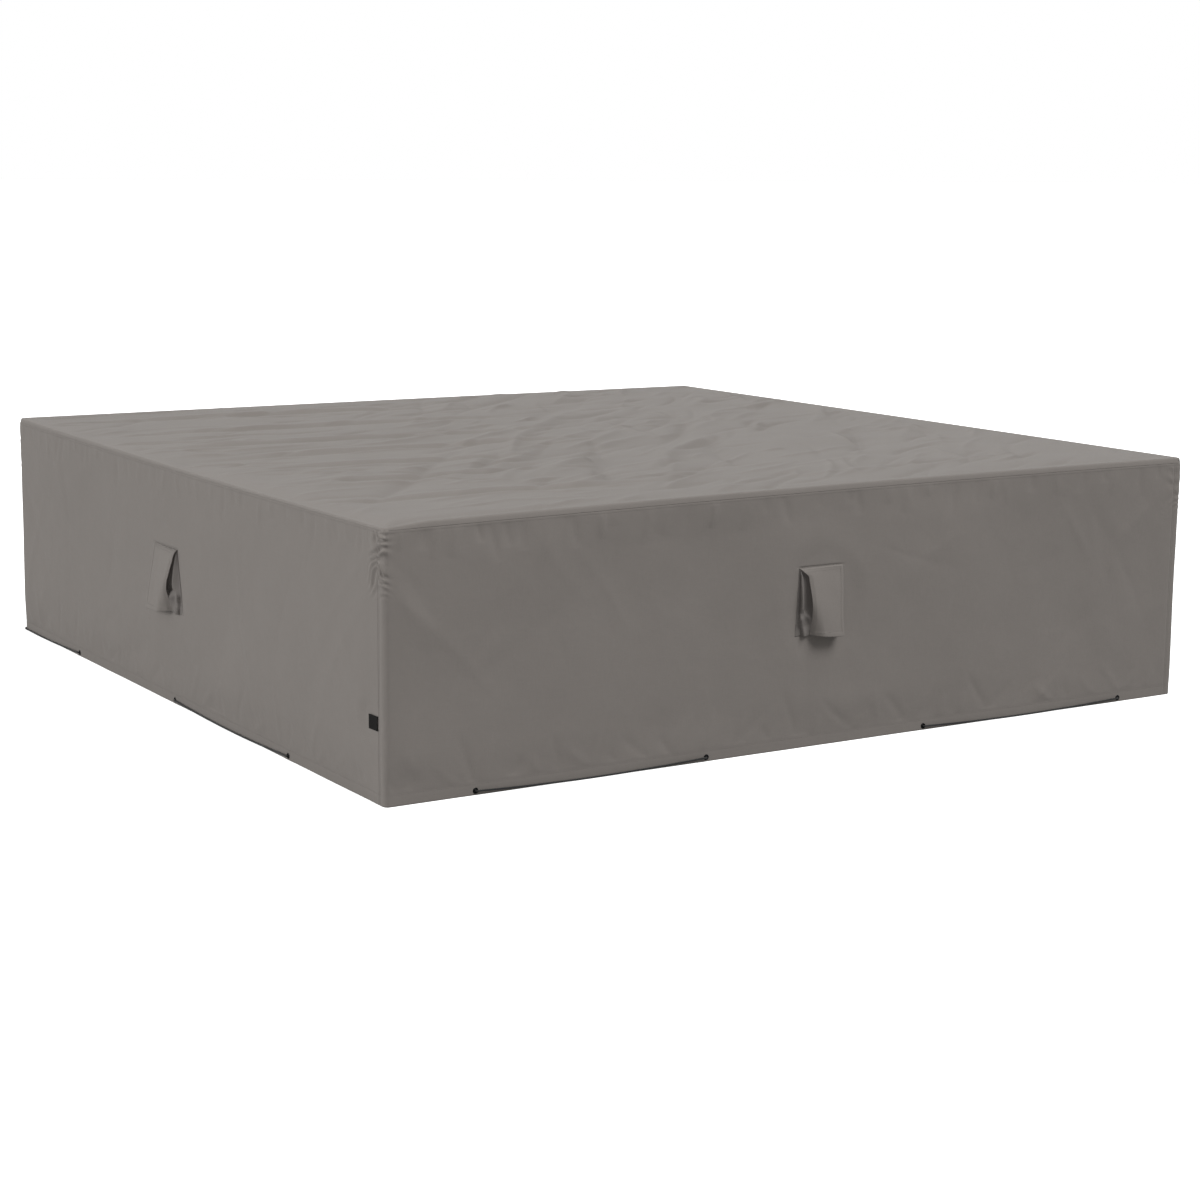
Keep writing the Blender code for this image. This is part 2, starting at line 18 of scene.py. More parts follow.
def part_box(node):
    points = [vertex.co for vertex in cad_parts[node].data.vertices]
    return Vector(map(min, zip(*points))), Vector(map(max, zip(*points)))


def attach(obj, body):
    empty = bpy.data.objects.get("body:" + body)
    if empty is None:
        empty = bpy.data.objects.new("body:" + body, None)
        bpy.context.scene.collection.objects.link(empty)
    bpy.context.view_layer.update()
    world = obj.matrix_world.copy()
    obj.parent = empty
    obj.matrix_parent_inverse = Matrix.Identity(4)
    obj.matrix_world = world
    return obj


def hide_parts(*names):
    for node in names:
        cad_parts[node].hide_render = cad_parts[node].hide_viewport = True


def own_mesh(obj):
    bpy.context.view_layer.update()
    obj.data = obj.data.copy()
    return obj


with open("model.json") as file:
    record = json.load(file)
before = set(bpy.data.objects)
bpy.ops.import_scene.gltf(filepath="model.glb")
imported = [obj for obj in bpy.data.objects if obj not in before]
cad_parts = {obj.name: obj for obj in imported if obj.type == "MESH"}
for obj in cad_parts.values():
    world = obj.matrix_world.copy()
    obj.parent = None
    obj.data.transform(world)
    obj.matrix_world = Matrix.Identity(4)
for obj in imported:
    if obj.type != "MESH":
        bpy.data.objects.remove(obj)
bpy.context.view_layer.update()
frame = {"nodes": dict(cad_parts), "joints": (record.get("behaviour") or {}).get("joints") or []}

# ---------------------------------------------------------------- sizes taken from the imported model
SIDES = ["front", "right", "back", "left"]
TOP_LOW, TOP_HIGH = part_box("top_panel")
HALF = TOP_HIGH.x
HEIGHT = TOP_HIGH.z
CLOTH = TOP_HIGH.z - TOP_LOW.z
SIDE = 2 * HALF
PERIMETER = 4 * SIDE
JOINTS = {joint["name"]: joint for joint in frame["joints"]}

# ---------------------------------------------------------------- the cover's cloth
CORNER_RADIUS = 0.015
SEAM_FROM_CORNER = HALF - sum(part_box("front_corner_binding"), Vector()).x / 2
HEM_HEIGHT = 0.030
HEM_DEPTH = 0.009
TOP_CELL = 0.0075
SKIRT_CELL = 0.009
LIP_RADIUS = 0.010
HEIGHT_TO_SEAM = -0.016
TOP_SEAM = HEIGHT + HEIGHT_TO_SEAM
SKIRT_LAP = 0.004
SKIRT_TUCK = 0.0012
STITCH_FROM_SEAM = 0.007
EYELET_HOLE = 0.0056

# How deep and how wide the seams and the rows of stitches are pressed into the cloth
TOP_GROOVE = 0.0004
CORNER_GROOVE = 0.0006
VENT_GROOVE = 0.0022
GROOVE_WIDTH = 0.0028
STITCH_GROOVE = 0.0004
STITCH_GROOVE_WIDTH = 0.0025

# The lip's section from the top's edge to the seam, as (out, down). The hem's section from the skirt's outer
# face round its foot and up inside, as (out, height, share of the skirt's folds that it follows).
LIP_SECTION = [
    (-0.0078, -0.0003), (-0.0057, -0.0010), (-0.0041, -0.0022), (-0.0030, -0.0040), (-0.0022, -0.0062),
    (-0.0015, -0.0085), (-0.0009, -0.0110), (-0.0003, -0.0135), (0.0, HEIGHT_TO_SEAM + 0.0006),
    (0.0, HEIGHT_TO_SEAM - 0.0001),
]
HEM_SECTION = [
    (-0.0006, 0.0006, 1.0), (-0.0020, 0.0, 0.8), (-0.0070, 0.0, 0.3), (-0.0084, 0.0006, 0.1),
    (-HEM_DEPTH, 0.002, 0.0), (-HEM_DEPTH, 0.010, 0.0), (-HEM_DEPTH, 0.020, 0.0),
    (-0.0064, 0.0245, 0.4), (-0.0024, 0.0285, 1.0), (-0.0017, 0.0325, 1.0),
]
TAPE_SECTION = [
    (0.0, 0.012), (-0.0010, 0.0128), (-0.0020, 0.012), (-0.0021, 0.006), (-0.0020, 0.0), (0.0, 0.0),
]

# The top edge, for the front, right, back and left sides: how far it stands above the model's at the side's
# first corner, how far it bows up between its corners, and how soft it is from its first corner to its last
CORNER_RISE = (0.004, 0.018, 0.012, 0.014)
EDGE_BOW = (0.006, 0.001, 0.001, -0.006)
EDGE_SOFTNESS = ((1.0, 0.10), (0.10, 0.15), (0.15, 0.30), (0.30, 1.0))
FRONT_SOFT_SHARE = 1 / 18
SOFT_DROP = 0.009
SOFT_REACH = 0.080
CROWN = 0.003

# Folds and wrinkles
TENSION_FOLDS = 46
TOP_WRINKLES = 330
TOP_WRINKLE_LIMIT = 0.012
SKIRT_FOLDS = 70
NOISE_CELLS = 97

# The gathers where the top end of each corner seam is drawn up, flatter along its stitches by the sewn share
PUCKER_REACH = 0.185
PUCKER_PITCH = 0.027
PUCKER_DEPTH = 0.0060
PUCKER_WIDTH = 0.033
PUCKER_STRENGTH = (1.0, 0.2, 0.7, 0.6)
SEWN_WIDTH = 0.010
SEWN_SHARE = 0.68

# The vent hoods. A side's near edge (-1 left, 1 right) bulges, is drawn in by its pleats and curls at its
# foot. How far an edge is drawn in is given from the seam down, as (distance down, distance in). The near
# gusset's sewn edge spreads below the seam. A pleat's section runs from the skirt to the flap, as (share of
# the way across, share of the way out).
HOOD_LENGTH = 0.192
HOOD_OUT = 0.0022
HOOD_OPEN_DEG = 9
HOOD_SLOPE = math.tan(math.radians(HOOD_OPEN_DEG))
FLAP_THICKNESS = 0.0014
NEAR_EDGE = {"front": -1, "right": 1, "back": -1, "left": 1}
NEAR_HALF = 0.077
FAR_HALF = {"front": 0.0675, "right": 0.074, "back": 0.071, "left": 0.097}
TAUT_EDGE = ((0.0, 0.0), (0.022, 0.024), (0.10, 0.030), (0.14, 0.033), (0.192, 0.034))
SLACK_EDGE = ((0.0, 0.0), (0.03, 0.006), (0.075, 0.016), (0.125, 0.035), (0.192, 0.037))
NEAR_DRAWN_IN = {"front": TAUT_EDGE, "right": SLACK_EDGE, "back": TAUT_EDGE, "left": SLACK_EDGE}
FAR_DRAWN_IN = {"front": 0.011, "right": 0.006, "back": 0.010, "left": -0.001}
NEAR_BULGE = 0.017
NEAR_CURL = 0.027
GUSSET_THICKNESS = 0.0007
GUSSET_SPREAD = {"front": 0.010, "right": 0.030, "back": 0.016, "left": 0.038}
GUSSET_OUT = 0.0010
RIDGED_PLEAT = (
    (0.0, 0.0), (0.14, 0.02), (0.22, 0.12), (0.12, 0.45), (0.18, 0.74), (0.34, 0.78), (0.42, 0.30),
    (0.60, 0.06), (0.90, 0.12), (1.10, 0.55), (1.0, 1.0),
)
SLOPED_PLEAT = (
    (0.0, 0.0), (0.12, 0.10), (0.25, 0.28), (0.40, 0.50), (0.55, 0.68), (0.66, 0.66), (0.70, 0.30),
    (0.80, 0.14), (1.10, 0.25), (1.25, 0.60), (1.0, 1.0),
)
PLEATS = {"front": RIDGED_PLEAT, "right": SLOPED_PLEAT, "back": RIDGED_PLEAT, "left": SLOPED_PLEAT}
BILLOW = {"front": 0.003, "right": 0.010, "back": 0.006, "left": 0.010}

# The screens, the hook tape and the label. A yarn's section is given as (across, up).
SCREEN_PITCH = 0.0022
YARN_SECTION = [(-0.00028, -0.00012), (0.00028, -0.00012), (0.00028, 0.00012), (-0.00028, 0.00012)]
YARN_WAVE = 0.00016
HOOK_PITCH = 0.00185
HOOK_BACKING = 0.0005
LABEL_THICKNESS = 0.0010

# The drawcord, its two strands at the lock, and the lock's parts
CORD_RADIUS = 0.0026
CORD_OUT = 0.0055
CORD_BEND = 0.00525
CORD_LOWEST = 0.0034
CORD_STEP = 0.0017
BRAID_PITCH = 0.0144
STRAND_HEIGHT = 0.0153
STRAND_SPACING = 0.0064
TAIL = 0.085
LOCK_RADIUS = 0.009
LOCK_BORE = 0.0075
LOCK_FLOOR = 0.002
PLUNGER_RADIUS = 0.0072
PLUNGER_TRAVEL = 0.0035
SLOT_REACH = 0.0028
COIL_RADIUS = 0.0055
COIL_WIRE = 0.0004
COIL_TURNS = 3
END_STOP_LENGTH = 0.014
END_STOP_RADIUS = 0.0033

# The studio
FLOOR_COLOUR = (0.95, 0.95, 0.95)
FLOOR_GLOW = 0.85
FLOOR_BOUNCE = (0.38, 0.38, 0.38)
CAMERA_PLACE = (-3.97046, -6.54370, 1.58266)
CAMERA_AZIMUTH = math.radians(32.008)
CAMERA_PITCH = math.radians(10.282)
CAMERA_ROLL = math.radians(0.5558)
CAMERA_LENS = 73.54
KEY_WAY = (0.25, -0.53, 0.81)
KEY_STRENGTH = 2.22
SIDE_WAY = (-0.92, 0.30, 0.24)
SIDE_STRENGTH = 1.84
SKY_STRENGTH = 0.29

# How grids of points are laid out: the room kept round an exact place, and the least gap between two
EXACT_ROOM = 0.0035
LEAST_GAP = 0.0002


def smooth(value):
    value = np.clip(value, 0, 1)
    return value * value * (3 - 2 * value)


def bump(value):
    """A bell, one at nought."""
    return np.exp(-value * value)


def noise(seed, u, v, size_u, size_v, around=None):
    """Smooth noise from -1 to 1 with features of these sizes. Around is the length at which u repeats."""
    count = round(around / size_u) if around else NOISE_CELLS
    values = np.random.default_rng(seed).uniform(-1, 1, (count, NOISE_CELLS))
    x = u * count / around if around else u / size_u
    y = v / size_v
    i, j = np.floor(x).astype(int), np.floor(y).astype(int)
    fx, fy = smooth(x - i), smooth(y - j)
    near, far = (
        values[i % count, row % NOISE_CELLS] * (1 - fx) + values[(i + 1) % count, row % NOISE_CELLS] * fx
        for row in (j, j + 1)
    )
    return near * (1 - fy) + far * fy


def crease_field(u, v, creases, around=None):
    """The height of a set of creases: soft ridges or grooves that bend a little and taper to their ends."""
    total = np.zeros(u.shape)
    for centre_u, centre_v, angle, length, width, height, bend in creases:
        du = u - centre_u
        if around:
            du = (du + around / 2) % around - around / 2
        dv = v - centre_v
        reach = length / 2 + 5 * width
        near = np.nonzero((abs(du) < reach) & (abs(dv) < reach))
        run = du[near] * math.cos(angle) + dv[near] * math.sin(angle)
        across = dv[near] * math.cos(angle) - du[near] * math.sin(angle)
        run = 2 * run / length
        across = across + bend * length * run * run
        ridge = np.exp(0.5 - np.sqrt((across / width) ** 2 + 0.25))
        total[near] += height * ridge * np.clip(1 - run * run, 0, 1)
    return total


def place(along, out, height):
    """The points this far along the outline, this far outside it and this high."""
    along, out, height = np.broadcast_arrays(along, out, height)
    side = np.floor(along / SIDE)
    x = along - side * SIDE - HALF
    straight = HALF - CORNER_RADIUS
    lean = np.sign(x) * np.clip((abs(x) - straight) / CORNER_RADIUS, 0, 1) * math.pi / 4
    px = np.clip(x, -straight, straight) + (CORNER_RADIUS + out) * np.sin(lean)
    py = -straight - (CORNER_RADIUS + out) * np.cos(lean)
    c, s = np.cos(side * math.pi / 2), np.sin(side * math.pi / 2)
    return np.stack([px * c - py * s, px * s + py * c, height], -1)


def turned(points, side, back=False):
    """Points of a side's own frame in the model's frame, or the other way round."""
    steps = SIDES.index(side) * (-1 if back else 1)
    c, s = [(1, 0), (0, 1), (-1, 0), (0, -1)][steps % 4]
    points = np.asarray(points, float)
    x, y = points[..., 0], points[..., 1]
    return np.stack([x * c - y * s, x * s + y * c, points[..., 2]], -1)


def centre(node):
    low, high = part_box(node)
    return np.array((low + high) / 2)


def local_box(node, side):
    """The lowest and highest corners of a piece's box, in its side's own frame."""
    corners = turned(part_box(node), side, back=True)
    return corners.min(0), corners.max(0)


def along_of(point):
    """How far along the outline a point beside a straight stretch lies."""
    for number, side in enumerate(SIDES):
        local = turned(point, side, back=True)
        if local[1] < HEM_DEPTH - HALF:
            return number * SIDE + local[0] + HALF


EYELETS = sorted(along_of(centre(name)) for name in frame["nodes"] if name.startswith("eyelet"))
EYELET_HEIGHT = float(centre("eyelet_01")[2])
VENTS = {side: turned(JOINTS[side + "_hood_hinge"]["pos_m"], side, back=True) for side in SIDES}
VENT_ALONG = {side: number * SIDE + HALF + VENTS[side][0] for number, side in enumerate(SIDES)}
LABEL = centre("side_label")
LABEL_ALONG = along_of(LABEL)


def edge_rise(along):
    """How far the cover's top edge stands above the model's flat top."""
    number = (np.asarray(along) // SIDE).astype(int) % 4
    t = along % SIDE / SIDE
    first, bow = np.array(CORNER_RISE), np.array(EDGE_BOW)
    last = np.roll(first, -1)
    return first[number] + (last - first)[number] * t + 4 * bow[number] * t * (1 - t)


def edge_drop(along):
    """How far the top curves down to its soft edge. The front edge is soft only beside its first corner."""
    number = (np.asarray(along) // SIDE).astype(int) % 4
    t = along % SIDE / SIDE
    first, last = np.array(EDGE_SOFTNESS).T
    fall = np.where(number == 0, smooth(1 - t / FRONT_SOFT_SHARE), smooth(1 - t))
    return SOFT_DROP * (last[number] + (first - last)[number] * fall)


def edges_near(x, y):
    """For each side, how far points of the top are from its edge and how far along the outline."""
    for number, (run, off) in enumerate(((x, y), (y, -x), (-x, -y), (-y, x))):
        yield number, np.clip(HALF + off, 0, None), number * SIDE + np.clip(run + HALF, 0, SIDE - 1e-6)


def crown(x, y):
    """How far the whole top stands above the model's: it meets its four edges and is highest between them."""
    u, v = (x + HALF) / SIDE, (y + HALF) / SIDE
    rises = {number: edge_rise(along) for number, _, along in edges_near(x, y)}
    front_left, front_right, back_right, back_left = CORNER_RISE
    flat = (1 - u) * ((1 - v) * front_left + v * back_left) + u * ((1 - v) * front_right + v * back_right)
    total = (1 - v) * rises[0] + u * rises[1] + v * rises[2] + (1 - u) * rises[3] - flat
    return total + CROWN * np.clip(16 * u * (1 - u) * v * (1 - v), 0, 1)


def soft_edge(x, y):
    """How far points of the top lie lower for being near its soft edge."""
    drops = []
    for _, off, along in edges_near(x, y):
        share = np.clip(1 - (off - LIP_RADIUS) / (SOFT_REACH - LIP_RADIUS), 0, 1)
        drops.append(edge_drop(along) * share**2)
    return np.max(drops, axis=0)


# ---------------------------------------------------------------- wrinkles
def top_creases():
    """Fold marks from storage, tension folds along one diagonal, and short wrinkles between them."""
    rng = np.random.default_rng(11)
    creases = []
    for place_y in np.arange(-3, 4) * SIDE / 8:
        length = rng.uniform(1.0, 1.7)
        middle = length / 2 + 0.02 - HALF
        angle = math.radians(rng.uniform(-7, 0))
        place_y = place_y + rng.uniform(-0.06, 0.06)
        creases.append((middle, place_y, angle, length, 0.012, -0.0088, 0.02))
        creases.append((middle, place_y + 0.04, angle, length * 0.9, 0.018, 0.0062, 0.02))
    for _ in range(TENSION_FOLDS):
        reach = rng.uniform(-0.9, 0.9)
        spread = rng.normal(0, 0.238)
        angle = math.radians(43 + rng.normal(0, 10))
        length = rng.uniform(0.35, 0.95)
        height = rng.choice([-1, 1]) * rng.uniform(0.0052, 0.0115)
        width = rng.uniform(0.013, 0.024)
        bend = rng.uniform(-0.06, 0.06)
        creases.append((reach + spread, reach - spread, angle, length, width, height, bend))
    for _ in range(TOP_WRINKLES):
        x, y = rng.uniform(-HALF, HALF, 2)
        angle = math.radians(38 * smooth((x + HALF) / 1.7) + rng.normal(0, 17))
        height = rng.choice([-1, 1]) * rng.uniform(0.0026, 0.0070)
        length = rng.uniform(0.12, 0.50)
        width = rng.uniform(0.007, 0.014)
        creases.append((x, y, angle, length, width, height, rng.uniform(-0.10, 0.10)))
    return creases


def row_of_creases(rng, spacing, lengths, angles, heights, foot):
    """Short creases in a row right round the cover, each with one end near the height of its foot."""
    creases = []
    along = 0.0
    while along < PERIMETER:
        length = rng.uniform(*lengths)
        angle = math.radians(90 + rng.choice([-1, 1]) * rng.uniform(*angles))
        middle = foot + math.copysign(length * 0.42 * math.sin(angle), HEIGHT / 2 - foot)
        height = rng.choice([-1, 1]) * rng.uniform(*heights)
        width = rng.uniform(0.006, 0.009)
        creases.append((along, middle, angle, length, width, height, rng.uniform(-0.06, 0.06)))
        along += rng.uniform(*spacing)
    return creases


def skirt_creases():
    """Gathers under the top seam and over the hem, folds that run from the corners, and folds anywhere."""
    rng = np.random.default_rng(23)
    creases = row_of_creases(rng, (0.030, 0.11), (0.04, 0.12), (0, 18), (0.0014, 0.0036), TOP_SEAM)
    creases += row_of_creases(rng, (0.030, 0.10), (0.05, 0.17), (8, 62), (0.0012, 0.0028), HEM_HEIGHT + 0.006)
    for number in range(4):
        for way in (-1, 1):
            for fold in range(3):
                lean = math.radians(rng.uniform(35, 66))
                length = rng.uniform(0.30, 0.60)
                middle = number * SIDE - SEAM_FROM_CORNER + way * (0.03 + length / 2 * math.cos(lean))
                is_low = rng.random() < 0.5
                reach = 0.02 + fold * 0.05 + length / 2 * math.sin(lean)
                height = reach + 0.04 if is_low else TOP_SEAM - reach
                angle = way * (lean if is_low else -lean)
                depth = rng.choice([-1, 1]) * rng.uniform(0.0010, 0.0024)
                creases.append((middle, height, angle, length, 0.018, depth, 0.04))
    for _ in range(SKIRT_FOLDS):
        along, height = rng.uniform(0, PERIMETER), rng.uniform(0.08, 0.62)
        angle = math.radians(rng.uniform(0, 180))
        length, width = rng.uniform(0.15, 0.55), rng.uniform(0.010, 0.024)
        depth = rng.choice([-1, 1]) * rng.uniform(0.0006, 0.0018)
        creases.append((along, height, angle, length, width, depth, rng.uniform(-0.1, 0.1)))
    return creases


TOP_CREASES = top_creases()
SKIRT_CREASES = skirt_creases()


def top_height(x, y):
    """The height of the top's outer face over its inner part."""
    edge = smooth((HALF - np.maximum(abs(x), abs(y)) - LIP_RADIUS) / 0.05)
    swell = 0.0035 * noise(51, x, y, 0.55, 0.40) + 0.0022 * noise(52, x, y, 0.24, 0.15)
    swell += 0.0010 * noise(53, x, y, 0.10, 0.06)
    wrinkles = TOP_WRINKLE_LIMIT * np.tanh((swell + crease_field(x, y, TOP_CREASES)) / TOP_WRINKLE_LIMIT)
    return HEIGHT + crown(x, y) - soft_edge(x, y) + edge * wrinkles


def off_seam(along):
    """The signed distance from the nearest corner seam, along the outline."""
    return (along + SEAM_FROM_CORNER + SIDE / 2) % SIDE - SIDE / 2


def corner_puckers(along, height):
    """The folds across a drawn-up corner seam, which are flatter along its stitches."""
    off = off_seam(along)
    down = TOP_SEAM - height
    seam = np.round((along + SEAM_FROM_CORNER) / SIDE).astype(int) % 4
    warp = 0.9 * noise(31, along, height, 0.034, 0.045, PERIMETER) + 0.25 * smooth(0.5 + off / 0.02)
    lean = 0.9 * noise(33, along, height, 0.09, 0.07, PERIMETER)
    wave = np.cos(2 * math.pi * ((down + lean * off) / PUCKER_PITCH + warp))
    strength = np.clip(0.85 + 0.45 * noise(32, along, height, 0.03, 0.05, PERIMETER), 0, 2)
    fade = bump(off / PUCKER_WIDTH) * smooth((PUCKER_REACH - down) / 0.06) * smooth(down / 0.02)
    sewn = 1 - SEWN_SHARE * bump(off / SEWN_WIDTH)
    return PUCKER_DEPTH * (wave + 0.3) * strength * fade * sewn * np.array(PUCKER_STRENGTH)[seam]


def grooves(along, height):
    """The seams and their lines of stitching, pressed into the cloth."""
    off = off_seam(along)
    down = TOP_SEAM - height
    depth = np.maximum(CORNER_GROOVE * bump(off / GROOVE_WIDTH), TOP_GROOVE * bump(down / GROOVE_WIDTH))
    depth += STITCH_GROOVE * bump((off - STITCH_FROM_SEAM) / STITCH_GROOVE_WIDTH)
    depth += STITCH_GROOVE / 2 * bump((down - STITCH_FROM_SEAM) / STITCH_GROOVE_WIDTH)
    depth += STITCH_GROOVE * bump((height - HEM_HEIGHT) / 0.003)
    for side in SIDES:
        run = (along - VENT_ALONG[side]) * NEAR_EDGE[side]
        is_beside = (run > -FAR_HALF[side] - 0.001) & (run < NEAR_HALF + 0.001)
        above = lifted(along, height) - VENTS[side][2] - 0.0012
        depth += is_beside * VENT_GROOVE * bump(above / GROOVE_WIDTH)
    return -depth


def from_spot(along, height, spot_along, spot_height, half_width, half_height):
    """How far out of an ellipse round a spot each point is: one is on it."""
    off = (along - spot_along + PERIMETER / 2) % PERIMETER - PERIMETER / 2
    return np.sqrt((off / half_width) ** 2 + ((height - spot_height) / half_height) ** 2)


def calm(along, height):
    """One over most of a skirt, and nought where the cloth lies flat: at its vent, seams and label."""
    share = smooth(abs(off_seam(along)) / 0.12 + 0.1)
    from_label = from_spot(along, height, LABEL_ALONG, LABEL[2], 0.05, 0.05)
    share = np.minimum(share, smooth((from_label - 0.8) / 0.9))
    for side in SIDES:
        from_vent = from_spot(along, height, VENT_ALONG[side], VENTS[side][2] - 0.10, 0.115, 0.135)
        share = np.minimum(share, smooth((from_vent - 0.85) / 0.5))
    return share


def drape(along, height):
    """How far the skirts' outer face stands outside the model's flat one."""
    along, height = np.broadcast_arrays(along % PERIMETER, height)
    free = smooth((height - HEM_HEIGHT) / 0.10)
    broad = 0.0075 * noise(41, along, height, 0.46, 0.40, PERIMETER)
    broad += 0.0034 * noise(42, along, height, 0.20, 0.26, PERIMETER)
    broad += 0.0008 * noise(43, along, height, 0.07, 0.09, PERIMETER)
    held = 0.2 + 0.8 * smooth((TOP_SEAM - height) / 0.10)
    over_hem = smooth((height - HEM_HEIGHT) / 0.012) * (0.4 + 0.6 * smooth((TOP_SEAM - height) / 0.014))
    creases = crease_field(along, height, SKIRT_CREASES, PERIMETER)
    total = calm(along, height) * (broad * free * held + creases * over_hem)
    total = total + corner_puckers(along, height) + grooves(along, height)
    hollow = 0.5 + 0.5 * noise(44, along, height, 0.11, 0.09, PERIMETER)
    for eyelet in EYELETS:
        hollow = hollow * smooth((from_spot(along, height, eyelet, EYELET_HEIGHT, 1, 1) - 0.010) / 0.035)
    return total - 0.0012 * hollow * (1 - free)


def lifted(along, height):
    """A height on the model's skirt, on the skirt whose top edge bows."""
    return height + edge_rise(along) * smooth(height / HEIGHT)


def let_down(along, height):
    """The height on the model's skirt of a place on the bowed one."""
    found = height
    for _ in range(4):
        found = height - edge_rise(along) * smooth(found / HEIGHT)
    return found


# ---------------------------------------------------------------- meshes
def link(name, data):
    obj = bpy.data.objects.new(name, data)
    bpy.context.scene.collection.objects.link(obj)
    return obj


def mesh_object(name, points, faces, materials, uv=None):
    """A smooth mesh of these faces, which all have as many corners. Points that no face uses are left out."""
    points = np.asarray(points, float).reshape(-1, 3)
    used = np.unique(faces)
    fresh = np.full(len(points), -1)
    fresh[used] = np.arange(len(used))
    mesh = bpy.data.meshes.new(name)
    mesh.from_pydata(points[used].tolist(), [], fresh[faces].tolist())
    if uv is not None:
        layer = mesh.uv_layers.new(name="cloth")
        flat = np.asarray(uv, float).reshape(-1, 2)[np.asarray(faces).ravel()]
        layer.data.foreach_set("uv", flat.astype(np.float32).ravel())
    mesh.shade_smooth()
    for material in materials:
        mesh.materials.append(material)
    return link(name, mesh)


def quads(left, right):
    """The faces between each column of point numbers and the column on its right."""
    return np.stack([left[:-1], left[1:], right[1:], right[:-1]], -1).reshape(-1, 4)


def grid_faces(rows, columns, is_ring=False, first=0):
    index = np.arange(rows * columns).reshape(rows, columns) + first
    return quads(index, np.roll(index, -1, axis=1)) if is_ring else quads(index[:, :-1], index[:, 1:])


def thicken(obj, thickness=CLOTH):
    """Gives a sheet its thickness, inwards, with the last material on the inside."""
    solid = obj.modifiers.new("thickness", "SOLIDIFY")
    solid.thickness = thickness
    solid.offset = -1
    solid.material_offset = len(obj.data.materials) - 1
    return obj


def reshape(obj, change):
    """Makes a change to a mesh, then turns its faces outward."""
    shape = bmesh.new()
    shape.from_mesh(obj.data)
    change(shape)
    bmesh.ops.recalc_face_normals(shape, faces=shape.faces[:])
    shape.to_mesh(obj.data)
    shape.free()
    return obj


def open_edges(shape):
    return [edge for edge in shape.edges if edge.is_boundary]


def merge_close(shape):
    """Joins points that lie on one spot, such as a spun outline's on its axis."""
    bmesh.ops.remove_doubles(shape, verts=shape.verts[:], dist=1e-6)
    bmesh.ops.dissolve_degenerate(shape, edges=shape.edges[:], dist=1e-7)


def close_ends(obj):
    return reshape(obj, lambda shape: bmesh.ops.holes_fill(shape, edges=open_edges(shape)))


def ring_frames(path):
    """For each point of a path, two directions at right angles to it: level, and upward."""
    tangent = np.gradient(path, axis=0)
    tangent /= np.linalg.norm(tangent, axis=1, keepdims=True)
    level = np.cross([0.0, 0.0, 1.0], tangent)
    level /= np.linalg.norm(level, axis=1, keepdims=True)
    return level, np.cross(tangent, level)


def tube(name, path, radius, segments, material, relief=None):
    """A round tube along a path. Relief gives the share of its radius, from an angle and a length."""
    path = np.asarray(path, float)
    level, upward = ring_frames(path)
    length = np.concatenate([[0], np.cumsum(np.linalg.norm(np.diff(path, axis=0), axis=1))])
    angle = np.arange(segments) * 2 * math.pi / segments
    share = relief(angle[None], length[:, None]) if relief else np.ones((len(path), segments))
    ring = np.cos(angle)[None, :, None] * level[:, None] + np.sin(angle)[None, :, None] * upward[:, None]
    points = path[:, None] + radius * share[..., None] * ring
    faces = grid_faces(len(path), segments, is_ring=True)
    uv = np.stack(np.broadcast_arrays(angle[None] * radius, length[:, None]), -1)
    return close_ends(mesh_object(name, points, faces, [material], uv))


def spun(name, profile, segments, material, relief=None):
    """A closed outline of (radius, height) pairs spun about Z. Relief gives a share of the radius."""
    profile = np.array(profile + profile[:1], float)
    angle = np.arange(segments) * 2 * math.pi / segments
    radius = np.repeat(profile[:, :1], segments, 1)
    if relief:
        radius = radius * relief(angle[None], profile[:, :1], profile[:, 1:])
    heights = np.broadcast_to(profile[:, 1:], radius.shape)
    points = np.stack([radius * np.cos(angle), radius * np.sin(angle), heights], -1)
    obj = mesh_object(name, points, grid_faces(len(profile), segments, is_ring=True), [material])
    reshape(obj, merge_close)
    obj.data.set_sharp_from_angle(angle=math.radians(35))
    return obj


def box_points(low, high):
    corners = [(x, y, z) for z in (low[2], high[2]) for y in (low[1], high[1]) for x in (low[0], high[0])]
    faces = [(0, 2, 3, 1), (4, 5, 7, 6), (0, 1, 5, 4), (2, 6, 7, 3), (0, 4, 6, 2), (1, 3, 7, 5)]
    return np.array(corners), np.array(faces)


def move_mesh(obj, matrix):
    obj.data.transform(matrix)
    obj.data.update()


def side_matrix(side):
    return Matrix.Rotation(math.pi / 2 * SIDES.index(side), 4, "Z")


def grid_lines(low, high, step, fine=(), exact=()):
    """Places from low to high at a step: closer over the fine stretches (start, end, step), some exact."""
    lines = list(np.linspace(low, high, round((high - low) / step) + 1))
    for start, end, close in fine:
        start, end = max(start, low), min(end, high)
        if start < end:
            first, last = start - close / 2, end + close / 2
            lines = [line for line in lines if not first < line < last or line in (low, high)]
            lines += list(np.linspace(start, end, max(2, round((end - start) / close) + 1)))
    for spot in exact:
        lines = [line for line in lines if abs(line - spot) > EXACT_ROOM]
        lines.append(spot)
    lines = sorted(lines)
    return np.array([b for a, b in zip([low - 1] + lines, lines) if b - a > LEAST_GAP])


def box_lines(low, high):
    """The four sides of a flat box, each as its start and its end."""
    corners = [(low[0], low[1]), (high[0], low[1]), (high[0], high[1]), (low[0], high[1])]
    return list(zip(corners, corners[1:] + corners[:1]))


def finish_piece(obj, body, slot, *nodes):
    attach(obj, body)
    if nodes:
        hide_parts(*nodes)
    return obj


